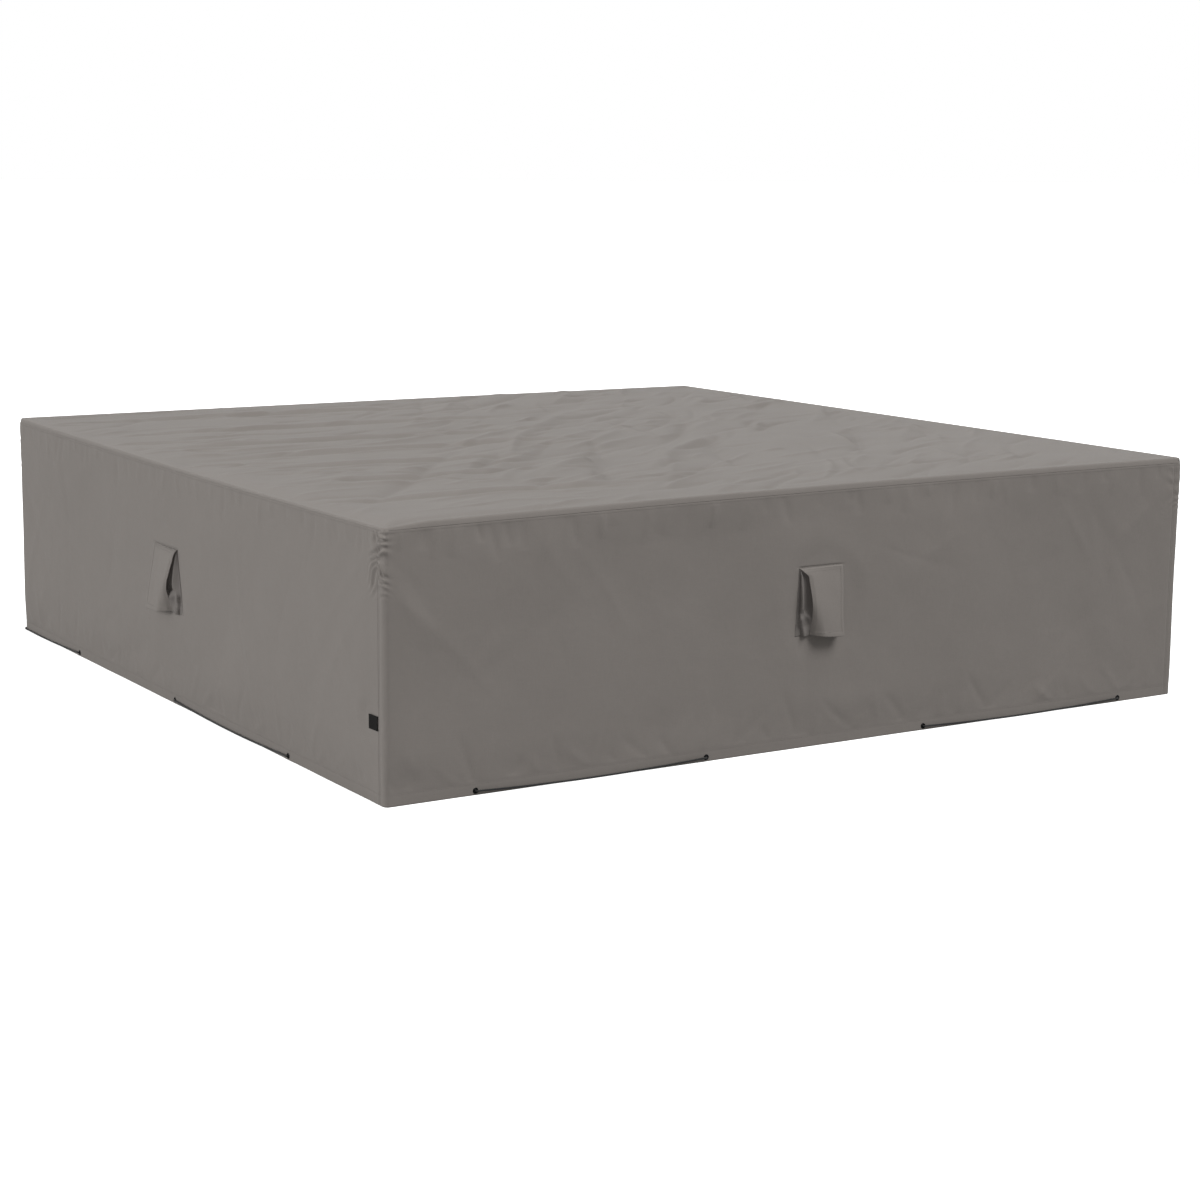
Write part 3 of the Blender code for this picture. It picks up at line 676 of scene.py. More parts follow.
# ---------------------------------------------------------------- materials
def add(tree, kind, inputs=None, **settings):
    """A shader node with its settings, and its inputs, each a value or another node's output."""
    node = tree.nodes.new(kind)
    for key, value in settings.items():
        setattr(node, key, value)
    for key, value in (inputs or {}).items():
        if isinstance(value, bpy.types.NodeSocket):
            tree.links.new(value, node.inputs[key])
        else:
            node.inputs[key].default_value = value
    return node


def math_node(tree, operation, *values):
    return add(tree, "ShaderNodeMath", dict(enumerate(values)), operation=operation).outputs[0]


def principled(name, roughness, metallic=0.0, specular=0.35, sheen=0.0):
    material = bpy.data.materials.new(name)
    material.use_nodes = True
    shader = material.node_tree.nodes["Principled BSDF"]
    shader.inputs["Roughness"].default_value = roughness
    shader.inputs["Metallic"].default_value = metallic
    shader.inputs["Specular IOR Level"].default_value = specular
    shader.inputs["Sheen Weight"].default_value = sheen
    shader.inputs["Sheen Roughness"].default_value = 0.5
    return material, material.node_tree, shader


def noise_node(tree, vector, scale, detail=2.0, distortion=0.0):
    inputs = {"Vector": vector, "Scale": scale, "Detail": detail, "Distortion": distortion}
    return add(tree, "ShaderNodeTexNoise", inputs).outputs["Fac"]


def centred(tree, value, size):
    """Noise from 0 to 1, as heights from -size/2 to size/2."""
    return math_node(tree, "MULTIPLY", math_node(tree, "SUBTRACT", value, 0.5), size)


def mixed(tree, colour, share):
    """A colour made darker or lighter by a share of it."""
    factor = math_node(tree, "ADD", share, 1.0)
    node = add(tree, "ShaderNodeVectorMath", {0: colour, "Scale": factor}, operation="SCALE")
    return node.outputs[0]


def weave_height(tree, coordinates, pitch):
    """A plain weave: where one thread passes over the other."""
    split = add(tree, "ShaderNodeSeparateXYZ", {0: coordinates})
    waves = []
    for axis in (0, 1):
        turn = math_node(tree, "MULTIPLY", split.outputs[axis], math.pi / pitch)
        waves.append(math_node(tree, "SINE", turn))
    return math_node(tree, "MULTIPLY", *waves)


def finish_shader(tree, shader, colour, height):
    """Gives a shader its colour, and its fine relief from a height in metres."""
    tree.links.new(colour, shader.inputs["Base Color"])
    relief = add(tree, "ShaderNodeBump", {"Height": height, "Distance": 1.0, "Strength": 1.0})
    tree.links.new(relief.outputs[0], shader.inputs["Normal"])


def cloth_material(name, colour, pitch, thread, roughness=0.8, crumple=0.0, sheen=0.15, mottle=0.09):
    """Woven cloth, its map in metres: weave, uneven threads, soft mottling and, on the cover, crumples."""
    material, tree, shader = principled(name, roughness, specular=0.25, sheen=sheen)
    place_map = add(tree, "ShaderNodeUVMap", uv_map="cloth").outputs[0]
    object_map = add(tree, "ShaderNodeTexCoord").outputs["Object"]
    weave = weave_height(tree, place_map, pitch)
    slubs = []
    for scale in ((0.9 / pitch, 25, 1), (25, 0.9 / pitch, 1)):
        stretched = add(tree, "ShaderNodeMapping", {"Vector": place_map, "Scale": scale}).outputs[0]
        slubs.append(noise_node(tree, stretched, 1.0))
    uneven = centred(tree, math_node(tree, "ADD", *slubs), 0.10)
    broad = centred(tree, noise_node(tree, object_map, 1.6, 3.0), mottle)
    cloud = math_node(tree, "ADD", broad, centred(tree, noise_node(tree, object_map, 9.0, 2.0), mottle / 2))
    threads = math_node(tree, "MULTIPLY", weave, 0.06)
    share = math_node(tree, "ADD", math_node(tree, "ADD", cloud, uneven), threads)
    height = math_node(tree, "MULTIPLY", weave, thread)
    if crumple:
        for scale, size in ((9.0, 1.0), (24.0, 0.40), (60.0, 0.12)):
            fold = noise_node(tree, object_map, scale, 2.0, 0.8)
            height = math_node(tree, "ADD", height, centred(tree, fold, size * crumple))
    finish_shader(tree, shader, mixed(tree, colour, share), height)
    return material


def solid_material(name, colour, roughness, metallic=0.0, grain=300.0, depth=0.00004):
    """Plastic, metal or thread: a fine grain, uneven gloss and a little colour change."""
    material, tree, shader = principled(name, roughness, metallic, specular=0.4)
    spot = add(tree, "ShaderNodeTexCoord").outputs["Object"]
    fine = noise_node(tree, spot, grain, 3.0)
    coarse = noise_node(tree, spot, grain / 8, 2.0)
    gloss = math_node(tree, "ADD", centred(tree, coarse, WEAR), roughness)
    tree.links.new(gloss, shader.inputs["Roughness"])
    colour = mixed(tree, colour, centred(tree, coarse, WEAR * 2))
    finish_shader(tree, shader, colour, math_node(tree, "MULTIPLY", fine, depth))
    return material


def braid_material(name, colour, radius, pitch):
    """Braided cord: two sets of strands that wind round it opposite ways, with a dull sheen."""
    material, tree, shader = principled(name, 0.62, specular=0.35, sheen=0.25)
    split = add(tree, "ShaderNodeSeparateXYZ", {0: add(tree, "ShaderNodeUVMap", uv_map="cloth").outputs[0]})
    round_it = math_node(tree, "MULTIPLY", split.outputs[0], 4 / radius)
    along_it = math_node(tree, "MULTIPLY", split.outputs[1], 2 * math.pi / pitch)
    waves = [math_node(tree, "SINE", math_node(tree, way, round_it, along_it)) for way in ("ADD", "SUBTRACT")]
    strands = math_node(tree, "MAXIMUM", *waves)
    colour = mixed(tree, colour, math_node(tree, "MULTIPLY", strands, 0.35))
    finish_shader(tree, shader, colour, math_node(tree, "MULTIPLY", strands, 0.00018))
    return material


WEAR = 0.15
WEAVE_PITCH = 0.0011
COVER_COLOUR = (0.215, 0.1955, 0.180)
# The gussets' cloth is the cover's cloth painted darker and given less sheen: painted shade for the shadow that
# lies in their pleats
GUSSET_PAINTED_SHADE_COLOUR = (0.165, 0.151, 0.141)
COATING_COLOUR = (0.20, 0.19, 0.178)
OUTSIDE = cloth_material("cover_cloth", COVER_COLOUR, WEAVE_PITCH, 0.00006, 0.78, crumple=0.0011)
SHADED = cloth_material("gusset_cloth", GUSSET_PAINTED_SHADE_COLOUR, WEAVE_PITCH, 0.00006, 0.8, crumple=0.0008, sheen=0.05)
INSIDE = cloth_material("cover_coating", COATING_COLOUR, WEAVE_PITCH, 0.00002, 0.5, crumple=0.0006, sheen=0.0)
BINDING = cloth_material("binding_tape", (0.10, 0.095, 0.088), 0.0016, 0.00012, 0.85)
WEBBING = cloth_material("prop_webbing", (0.035, 0.034, 0.033), 0.0020, 0.00022, 0.8)
LABEL_CLOTH = cloth_material("label_cloth", (0.006, 0.0055, 0.005), 0.0007, 0.00006, 0.85, sheen=0.0)
SCREEN = solid_material("screen_yarn", (0.02, 0.02, 0.02), 0.6, grain=900.0)
THREAD = solid_material("thread", (0.19, 0.175, 0.163), 0.7, grain=1500.0, depth=0.00005)
DARK_THREAD = solid_material("dark_thread", (0.03, 0.03, 0.03), 0.7, grain=1500.0, depth=0.00005)
CORD = braid_material("drawcord_braid", (0.012, 0.012, 0.012), CORD_RADIUS, BRAID_PITCH / 2)
LACQUER = solid_material("eyelet_lacquer", (0.016, 0.016, 0.017), 0.36, 0.75, grain=500.0, depth=0.00002)
PLASTIC = solid_material("lock_plastic", (0.018, 0.018, 0.018), 0.46, grain=1400.0, depth=0.00005)
STEEL = solid_material("spring_steel", (0.52, 0.52, 0.53), 0.28, 1.0, grain=700.0, depth=0.00001)
HOOKS = solid_material("hook_tape", (0.02, 0.02, 0.02), 0.5, grain=600.0)


# ---------------------------------------------------------------- stitches
def stitch_line(start, end, pitch, share=0.62):
    """The two ends of each stitch on a straight line, in whatever coordinates the line is in."""
    start, end = np.asarray(start, float), np.asarray(end, float)
    count = max(1, round(np.linalg.norm(end - start) / pitch))
    first = (np.arange(count) + (1 - share) / 2) / count
    last = first + share / count
    return np.stack([start + (end - start) * t[:, None] for t in (first, last)], 1)


def on_surface(tree, points, outward):
    """Points dropped on a surface from outside it, with its normals. A point that misses stays put."""
    found, normals = [], []
    for point, direction in zip(points, outward):
        direction = Vector(direction)
        hit, normal, _, _ = tree.ray_cast(Vector(point) + direction * 0.02, -direction, 0.05)
        found.append(hit if hit else Vector(point))
        normals.append(normal if hit and normal.dot(direction) > 0 else direction)
    return np.array(found), np.array(normals)


def stitching(name, target, ends, outward, thread=0.00045, material=THREAD):
    """Short threads lying on the target's surface. Each end goes on it, then is sunk a little into it."""
    tree = BVHTree.FromObject(target, bpy.context.evaluated_depsgraph_get())
    flat = np.asarray(ends, float).reshape(-1, 3)
    outward = np.broadcast_to(outward, flat.shape)
    spots, normals = on_surface(tree, flat, outward)
    spots, normals = spots.reshape(-1, 2, 3), normals.reshape(-1, 2, 3).mean(1)
    first, last = spots[:, 0], spots[:, 1]
    run = last - first
    side = np.cross(normals, run)
    side /= np.linalg.norm(side, axis=1, keepdims=True)
    points = [first - 0.3 * thread * normals]
    for share in (0.15, 0.85):
        for turn in range(4):
            angle = math.pi / 4 + turn * math.pi / 2
            reach = math.cos(angle) * side + math.sin(angle) * normals
            points.append(first + share * run + thread * (reach + 0.25 * normals))
    points.append(last - 0.3 * thread * normals)
    points = np.stack(points, 1)
    ring = [(1 + turn, 1 + (turn + 1) % 4) for turn in range(4)]
    shape = [(0, b, a) for a, b in ring] + [(9, a + 4, b + 4) for a, b in ring]
    shape += [(a, b, b + 4) for a, b in ring] + [(a, b + 4, a + 4) for a, b in ring]
    faces = (np.arange(len(points))[:, None, None] * 10 + np.array(shape)).reshape(-1, 3)
    return mesh_object(name, points, faces, [material])


# ---------------------------------------------------------------- the top
def square_to_rounded(x, y, half, radius):
    """Moves a square grid's points so that its corners are rounded."""
    inner = half - radius
    u, v = (abs(x) - inner) / radius, (abs(y) - inner) / radius
    at_corner = (u > 0) & (v > 0)
    u, v = np.clip(u, 0, 1), np.clip(v, 0, 1)
    round_x = np.sign(x) * (inner + radius * u * np.sqrt(1 - v * v / 2))
    round_y = np.sign(y) * (inner + radius * v * np.sqrt(1 - u * u / 2))
    return np.where(at_corner, round_x, x), np.where(at_corner, round_y, y)


def outline_along(x, y):
    """How far along the outline each point of the inner part's edge lies, in its order round it."""
    inner = HALF - CORNER_RADIUS
    along = []
    for px, py, number in zip(x, y, (np.arange(len(x)) * 4) // len(x)):
        local = turned((px, py, 0.0), SIDES[number], back=True)
        lean = math.atan2(abs(local[0]) - inner, -local[1] - inner) if abs(local[0]) > inner else 0.0
        reach = min(abs(local[0]), inner) + CORNER_RADIUS * lean / (math.pi / 4)
        along.append(number * SIDE + HALF + math.copysign(reach, local[0]))
    return np.array(along)


def lip_rings(along):
    """The rings of points of the top's lip, and each ring's place on the cloth's map."""
    rings, maps = [], []
    travel, before = -LIP_RADIUS, (-LIP_RADIUS, 0.0)
    for out, down in LIP_SECTION:
        lowered = HEIGHT + down - edge_drop(along) * (1 - down / HEIGHT_TO_SEAM)
        follow = smooth((out + LIP_RADIUS) / LIP_RADIUS)
        rings.append(place(along, out + follow * drape(along, TOP_SEAM), lowered + edge_rise(along)))
        travel += math.dist(before, (out, down))
        before = (out, down)
        maps.append(place(along, travel, 0.0)[:, :2])
    return rings, maps


def make_top():
    """The top panel: its wrinkled inner part, and the lip that turns down to the seam with the skirts."""
    half = HALF - LIP_RADIUS
    count = round(2 * half / TOP_CELL)
    line = np.linspace(-half, half, count + 1)
    x, y = square_to_rounded(*np.meshgrid(line, line[::-1]), half, CORNER_RADIUS - LIP_RADIUS)
    inner = np.stack([x, y, top_height(x, y)], -1).reshape(-1, 3)

    index = np.arange(len(inner)).reshape(x.shape)
    edge = np.concatenate([index[-1, :-1], index[:0:-1, -1], index[0, :0:-1], index[:-1, 0]])
    rings, maps = lip_rings(outline_along(inner[edge, 0], inner[edge, 1]))
    lip = np.arange(len(edge) * len(rings)).reshape(len(rings), -1) + len(inner)
    lip = np.concatenate([edge[None], lip])
    faces = np.concatenate([grid_faces(*x.shape), quads(lip, np.roll(lip, -1, axis=1))])
    points, uv = np.concatenate([inner] + rings), np.concatenate([inner[:, :2]] + maps)
    top = mesh_object("top_cloth", points, faces, [OUTSIDE, INSIDE], uv)
    finish_piece(thicken(top), "cover", "cover_fabric", "top_panel")


# ---------------------------------------------------------------- the skirts
def skirt_rows(side):
    """A skirt's section from its tucked top edge round its hem, as (out, height, share of the drape)."""
    tuck = [(-0.0024, 0.0014), (-0.0016, 0.0006), (-0.0009, -0.0004)]
    top = float(let_down(np.array(VENT_ALONG[side]), VENTS[side][2]))
    fine = [(TOP_SEAM - PUCKER_REACH, TOP_SEAM, 0.0032), (TOP_SEAM - 0.014, TOP_SEAM, 0.0014)]
    fine += [(0.002, 0.046, 0.0028), (top - 0.006, top + 0.008, 0.0016)]
    heights = grid_lines(0.002, TOP_SEAM - 0.0014, SKIRT_CELL, fine)[::-1]
    rows = [(out, TOP_SEAM + up, 1.0) for out, up in tuck] + [(0.0, height, 1.0) for height in heights]
    return rows + HEM_SECTION


def skirt_columns(number, hole):
    """Places along a skirt: closer at its seams, its corner and its eyelets, exact at its vent's opening."""
    corner = number * SIDE
    start = corner - SEAM_FROM_CORNER - SKIRT_LAP
    fine = [(start, start + 0.10, 0.004), (start + SIDE - 0.07, start + SIDE, 0.004)]
    fine += [(corner - CORNER_RADIUS, corner + CORNER_RADIUS, 0.0022)]
    fine += [(start, start + 0.012, 0.0012), (start + SIDE - 0.006, start + SIDE + SKIRT_LAP, 0.0014)]
    fine += [(eyelet - 0.010, eyelet + 0.010, 0.002) for eyelet in EYELETS if start < eyelet < start + SIDE]
    return grid_lines(start, start + SIDE + SKIRT_LAP, SKIRT_CELL, fine, hole)


def in_a_hole(middles, low, high):
    """Which of a skirt's faces, by their middles (along, height, out), its vent and eyelets leave out."""
    along, height, out = middles.T
    is_open = (along > low[0]) & (along < high[0]) & (height > low[1]) & (height < high[1])
    for eyelet in EYELETS:
        is_open |= np.hypot(along - eyelet, height - EYELET_HEIGHT) < EYELET_HOLE
    return is_open & (abs(out) < 0.0003)


def make_skirt(side):
    """A skirt: a sheet round one corner with its folded hem, and holes for the vent and the eyelets."""
    number = SIDES.index(side)
    low, high = hole_box(side)
    columns = skirt_columns(number, (low[0], high[0]))
    rows = skirt_rows(side)
    for edge in (low[1], high[1]):
        nearest = min(range(len(rows)), key=lambda i: abs(rows[i][1] - edge))
        rows[nearest] = (0.0, edge, 1.0)
    out, height, share = (np.array(values)[:, None] for values in zip(*rows))
    seam = number * SIDE - SEAM_FROM_CORNER
    tucked = SKIRT_TUCK * smooth((seam + 0.0008 - columns) / 0.0008)
    outward = out + share * drape(columns[None], np.minimum(height, TOP_SEAM)) - tucked
    points = place(columns[None], outward, lifted(columns[None], height))
    travel = np.concatenate([[0], np.cumsum(np.hypot(np.diff(out[:, 0]), np.diff(height[:, 0])))])
    uv = np.stack(np.broadcast_arrays(columns[None], -travel[:, None]), -1)

    faces = grid_faces(len(rows), len(columns))
    flat = np.stack(np.broadcast_arrays(columns[None], height, out), -1).reshape(-1, 3)
    faces = faces[~in_a_hole(flat[faces].mean(1), low, high)]
    skirt = mesh_object(side + "_skirt_cloth", points, faces, [OUTSIDE, INSIDE], uv)
    return finish_piece(thicken(skirt), "cover", "cover_fabric", side + "_skirt")


def hole_box(side):
    """The corners of a vent's opening, as distances along the outline and heights."""
    low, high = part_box(side + "_vent_screen")
    middle = along_of(centre(side + "_vent_screen"))
    reach = (high.z - low.z) / 2 - 0.010
    height = (low.z + high.z) / 2
    bottom, top = (float(let_down(np.array(middle), height + way * reach)) for way in (-1, 1))
    return (middle - reach, bottom), (middle + reach, top)


def along_rows(lines, pitch):
    """Stitches along lines on a skirt, whose ends are (along, height), and the outward way of each end."""
    flat = np.concatenate([stitch_line(start, end, pitch) for start, end in lines])
    along, height = flat[..., 0], flat[..., 1]
    spots = place(along, 0.0, lifted(along, height))
    outward = place(along, 1.0, 0.0) - place(along, 0.0, 0.0)
    return spots, outward.reshape(-1, 3)


def make_skirt_stitching(side, skirt):
    """Rows over the hem, under the top seam and beside the corner seam, and one round the screen."""
    start = SIDES.index(side) * SIDE - SEAM_FROM_CORNER
    lines = []
    for height in (HEM_HEIGHT - 0.0015, TOP_SEAM - STITCH_FROM_SEAM):
        for part in range(8):
            first, last = start + part * SIDE / 8, start + (part + 1) * SIDE / 8
            lines.append(((first + 0.003, height), (last, height)))
    beside = start + STITCH_FROM_SEAM
    lines.append(((beside, TOP_SEAM - 0.01), (beside, 0.004)))
    low, high = np.array(hole_box(side))
    lines += box_lines(low - 0.005, high + 0.005)
    spots, outward = along_rows(lines, 0.0046)
    made = stitching(side + "_skirt_stitching", skirt, spots, outward)
    finish_piece(made, "cover", "cover_fabric")


def make_top_tape():
    """The tape over the raw edges inside the top seam, a loop."""
    columns = []
    for number in range(4):
        start, end = number * SIDE, (number + 1) * SIDE
        fine = [(start, start + 0.05, 0.004), (end - 0.09, end, 0.004)]
        columns.append(grid_lines(start, end, 0.02, fine)[:-1])
    columns = np.concatenate(columns)
    inside = drape(columns, TOP_SEAM) - 0.0024
    lowered = TOP_SEAM - 0.003 - 0.85 * edge_drop(columns) + edge_rise(columns)
    rings = []
    for out, up in TAPE_SECTION + TAPE_SECTION[:1]:
        uneven = 0.0002 * noise(61, columns, np.full(columns.shape, up), 0.012, 0.01, PERIMETER)
        rings.append(place(columns, inside + out + uneven, lowered + up))
    uv = np.stack(np.broadcast_arrays(columns[None], 0.004 * np.arange(len(rings))[:, None]), -1)
    faces = grid_faces(len(rings), len(columns), is_ring=True)
    tape = mesh_object("top_seam_tape", rings, faces, [BINDING], uv)
    finish_piece(tape, "cover", "binding", "top_seam_binding")


def make_corner_tape(number):
    """The tape inside a corner seam. The seam beside a side's first corner ends the skirt before it."""
    seam = (number * SIDE - SEAM_FROM_CORNER) % PERIMETER
    heights = grid_lines(HEM_HEIGHT + 0.004, TOP_SEAM - 0.006, 0.008)[::-1]
    across, height = np.meshgrid(np.linspace(-0.007, 0.007, 9), heights)
    out = drape(np.full(height.shape, seam), height) - 0.0026 - 0.0010 * bump(across / 0.002)
    points = place(seam + across, out, lifted(seam + across, height))
    uv = np.stack([seam + across, height], -1)
    tape = mesh_object(SIDES[number] + "_corner_tape", points, grid_faces(*height.shape), [BINDING], uv)
    finish_piece(thicken(tape, 0.001), "cover", "binding", SIDES[number - 1] + "_corner_binding")


# ---------------------------------------------------------------- the drawcord and its fittings
WINDOWS = list(zip(EYELETS[::2], EYELETS[1::2]))
LOCK_NODE = centre("cord_lock_barrel")
LOCK_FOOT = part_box("cord_lock_barrel")[0].z
LOCK_ALONG = along_of(LOCK_NODE)
LOCK_OUT = -turned(LOCK_NODE, "back", back=True)[1] - HALF


def eyelet_bend(eyelet, way):
    """The cord's S out of an eyelet (way 1) or into it (way -1), as (along, out, height)."""
    quarter = np.linspace(0, math.pi / 2, 7)
    middle = CORD_OUT - CORD_BEND
    inner = [(-CORD_BEND * (1 - math.sin(t)), middle - CORD_BEND * math.cos(t)) for t in quarter]
    outer = [(CORD_BEND * (1 - math.cos(t)), middle + CORD_BEND * math.sin(t)) for t in quarter[1:]]
    path = [(eyelet + way * run, out, EYELET_HEIGHT) for run, out in inner + outer]
    return path[::way]


def bare_run(start, end):
    """The cord between two eyelets: it hangs from both and lies close to the hem between them."""
    first, last = start + 2 * CORD_BEND, end - 2 * CORD_BEND
    along = np.linspace(first, last, round((last - first) / CORD_STEP))[1:-1]
    share = (2 * (along - first) / (last - first) - 1) ** 2
    closest = CORD_RADIUS + 0.0003
    out = closest + (CORD_OUT - closest) * share + 0.0004 * noise(71, along, along, 0.09, 1.0) * (1 - share)
    height = CORD_LOWEST + (EYELET_HEIGHT - CORD_LOWEST) * share
    return list(zip(along, np.maximum(out, closest), height))


def hidden_run(start, end):
    """The cord inside the hem, from one window to the next."""
    along = np.arange(start + 2 * CORD_BEND + 0.004, end - 2 * CORD_BEND, 0.0055)
    return [(value, CORD_OUT - 2 * CORD_BEND, EYELET_HEIGHT) for value in along]


def ease(start, end):
    """Points of a run that leaves one place level and meets the other level."""
    start, end = np.array(start), np.array(end)
    count = round(abs(end[0] - start[0]) / CORD_STEP)
    share = (np.arange(1, count) / count)[:, None]
    along = start[:1] + (end - start)[:1] * share
    return [tuple(point) for point in np.hstack([along, start[1:] + (end - start)[1:] * smooth(share)])]


def braid(angle, length):
    """The relief of the cord's strands, which wind round it both ways."""
    turn = 4 * math.pi * length / BRAID_PITCH
    return 1 + 0.055 * np.cos(3 * angle + turn) * np.cos(3 * angle - turn)


def make_cord():
    """One braided cord: a tail, the lock, right round the hem, the lock again and the other tail."""
    order = next(i for i, window in enumerate(WINDOWS) if window[0] < LOCK_ALONG < window[1])
    first, at = WINDOWS[order]
    others = WINDOWS[order + 1 :] + [(a + PERIMETER, b + PERIMETER) for a, b in WINDOWS[:order]]
    runs = LOCK_ALONG + np.arange(-TAIL, TAIL, CORD_STEP)
    outer, inner = LOCK_OUT + STRAND_SPACING / 2, LOCK_OUT - STRAND_SPACING / 2
    path = [(run, outer, STRAND_HEIGHT) for run in runs]
    bend = eyelet_bend(at, -1)
    path += ease(path[-1], bend[0]) + bend
    for start, end in others:
        path += hidden_run(at, start) + eyelet_bend(start, 1) + bare_run(start, end) + eyelet_bend(end, -1)
        at = end
    path += hidden_run(at, first + PERIMETER) + eyelet_bend(first + PERIMETER, 1)
    other_strand = [(run + PERIMETER, inner, STRAND_HEIGHT) for run in runs]
    path += ease(path[-1], other_strand[0]) + other_strand
    cord = tube("drawcord_braid", place(*np.array(path).T), CORD_RADIUS * 0.96, 12, CORD, braid)
    finish_piece(cord, "cover", "cord", "drawcord")


def make_eyelets():
    """Rolled metal grommets: a domed flange outside, a shank, and a flat washer inside."""
    arc = np.linspace(0, math.pi, 9)
    dome = [(0.0062 + 0.0018 * math.cos(t), 0.0003 + 0.0013 * math.sin(t)) for t in arc]
    profile = dome[:-1] + [(0.0044, 0.0002), (0.0044, -0.0019), (0.0050, -0.0021), (0.0078, -0.0020)]
    profile += [(0.0080, -0.0016), (0.0078, -0.0011), (0.0052, -0.0011), (0.0052, 0.0003)]
    for name in sorted(frame["nodes"]):
        if name.startswith("eyelet"):
            middle = centre(name)
            side = SIDES[int(along_of(middle) // SIDE) % 4]
            local = turned(middle, side, back=True)
            ring = spun(name + "_grommet", profile, 36, LACQUER)
            spot = Matrix.Translation((local[0], -HALF, local[2])) @ Matrix.Rotation(math.pi / 2, 4, "X")
            move_mesh(ring, side_matrix(side) @ spot)
            finish_piece(ring, "cover", "eyelet", name)


def cut_slot(obj, low, high):
    """Takes the passage of the two strands out of a part of the lock, which stands at the origin."""
    reach = STRAND_SPACING / 2 + CORD_RADIUS + 0.0002
    points, faces = box_points((-0.03, -reach, low), (0.03, reach, high))
    cutter = mesh_object("slot_cutter", points, faces, [PLASTIC])
    cutter.data.shade_flat()
    bevel = cutter.modifiers.new("round", "BEVEL")
    bevel.width = 0.0012
    bevel.segments = 3
    cut = obj.modifiers.new("slot", "BOOLEAN")
    cut.operation = "DIFFERENCE"
    cut.object = cutter
    graph = bpy.context.evaluated_depsgraph_get()
    mesh = bpy.data.meshes.new_from_object(obj.evaluated_get(graph))
    obj.modifiers.clear()
    obj.data = mesh
    bpy.data.objects.remove(cutter)
    mesh.shade_smooth()
    mesh.set_sharp_from_angle(angle=math.radians(32))


def lock_part(name, profile, segments, slot, relief=None):
    """A round part of the lock, with the passage of the two strands cut through it."""
    part = spun(name, profile, segments, PLASTIC, relief)
    cut_slot(part, *slot)
    move_mesh(part, Matrix.Translation((LOCK_NODE[0], LOCK_NODE[1], LOCK_FOOT)))
    return part


def make_barrel():
    """The lock's barrel, ribbed for grip, with a bore down to its floor."""
    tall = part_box("cord_lock_barrel")[1].z - LOCK_FOOT
    strand = STRAND_HEIGHT - LOCK_FOOT

    def ribs(angle, reach, height):
        grip = smooth((height - 0.0025) / 0.001) * smooth((tall - 0.0035 - height) / 0.001) * (reach > 0.0082)
        return 1 - 0.055 * grip * (0.5 + 0.5 * np.cos(24 * angle))

    profile = [(0.0, 0.0), (0.0078, 0.0), (0.0086, 0.0004), (LOCK_RADIUS, 0.0012)]
    profile += [(LOCK_RADIUS, height) for height in np.linspace(0.0022, tall - 0.0022, 16)]
    profile += [(LOCK_RADIUS, tall - 0.0010), (0.0087, tall - 0.0002)]
    profile += [(0.0082, tall), (0.0077, tall - 0.0002)]
    profile += [(LOCK_BORE, tall - 0.0006), (LOCK_BORE, LOCK_FLOOR + 0.0005)]
    profile += [(0.0070, LOCK_FLOOR), (0.0, LOCK_FLOOR)]
    barrel = lock_part("cord_lock_shell", profile, 96, (strand - SLOT_REACH, strand + SLOT_REACH), ribs)
    finish_piece(barrel, "cord_lock", "lock_plastic", "cord_lock_barrel")


def make_plunger():
    """The lock's plunger, with a dished head. Its slot is long enough for it to be pressed down."""
    low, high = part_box("cord_lock_plunger")
    base, head = low.z - LOCK_FOOT, high.z - LOCK_FOOT
    profile = [(0.0, base), (0.0068, base), (PLUNGER_RADIUS, base + 0.0004), (PLUNGER_RADIUS, head - 0.0030)]
    profile += [(0.0070, head - 0.0018), (0.0063, head - 0.0008), (0.0052, head - 0.0003)]
    profile += [(0.0045, head - 0.0004), (0.0038, head - 0.0009), (0.0020, head - 0.0011)]
    profile += [(0.0, head - 0.0011)]
    slot = (base + 0.0015, STRAND_HEIGHT - LOCK_FOOT + SLOT_REACH + PLUNGER_TRAVEL)
    button = lock_part("cord_lock_button", profile, 64, slot)
    finish_piece(button, "cord_lock_plunger", "lock_plastic", "cord_lock_plunger")


def make_coil():
    """The spring under the plunger: a coil of steel wire round the lock's axis."""
    low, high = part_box("cord_lock_spring")
    turn = np.linspace(0, 2 * math.pi * COIL_TURNS, 110)
    x = LOCK_NODE[0] + COIL_RADIUS * np.cos(turn)
    y = LOCK_NODE[1] + COIL_RADIUS * np.sin(turn)
    z = low.z + COIL_WIRE + (high.z - low.z - 2 * COIL_WIRE) * turn / turn[-1]
    spring = tube("cord_lock_coil", np.stack([x, y, z], -1), COIL_WIRE, 8, STEEL)
    finish_piece(spring, "cord_lock", "spring", "cord_lock_spring")
    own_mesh(spring)


def make_cord_end(name, way):
    """The ridged end stop on one of the cord's tails, its mouth towards the lock."""
    room, waist, length = CORD_RADIUS + 0.0001, 0.0031, END_STOP_LENGTH
    profile = [(0.0, length), (0.0, length / 2), (room, length / 2), (room, 0.0), (waist, 0.0)]
    profile += [(END_STOP_RADIUS - 0.0003 * (step % 2), length * (0.5 + step * 0.05)) for step in range(8)]
    profile += [(END_STOP_RADIUS, length - 0.0012), (END_STOP_RADIUS - 0.0006, length - 0.0004)]
    profile += [(END_STOP_RADIUS - 0.0016, length)]
    bell = spun(name + "_bell", profile, 32, PLASTIC)
    low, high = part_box(name)
    mouth = Matrix.Translation((high.x if way == 1 else low.x, *centre(name)[1:]))
    move_mesh(bell, mouth @ Matrix.Rotation(-way * math.pi / 2, 4, "Y"))
    finish_piece(bell, "cover", "lock_plastic", name)


# ---------------------------------------------------------------- the vents
def near_share(side, x):
    """Nought at a flap's far edge and one at its near edge."""
    return np.clip((x * NEAR_EDGE[side] + FAR_HALF[side]) / (NEAR_HALF + FAR_HALF[side]), 0, 1)


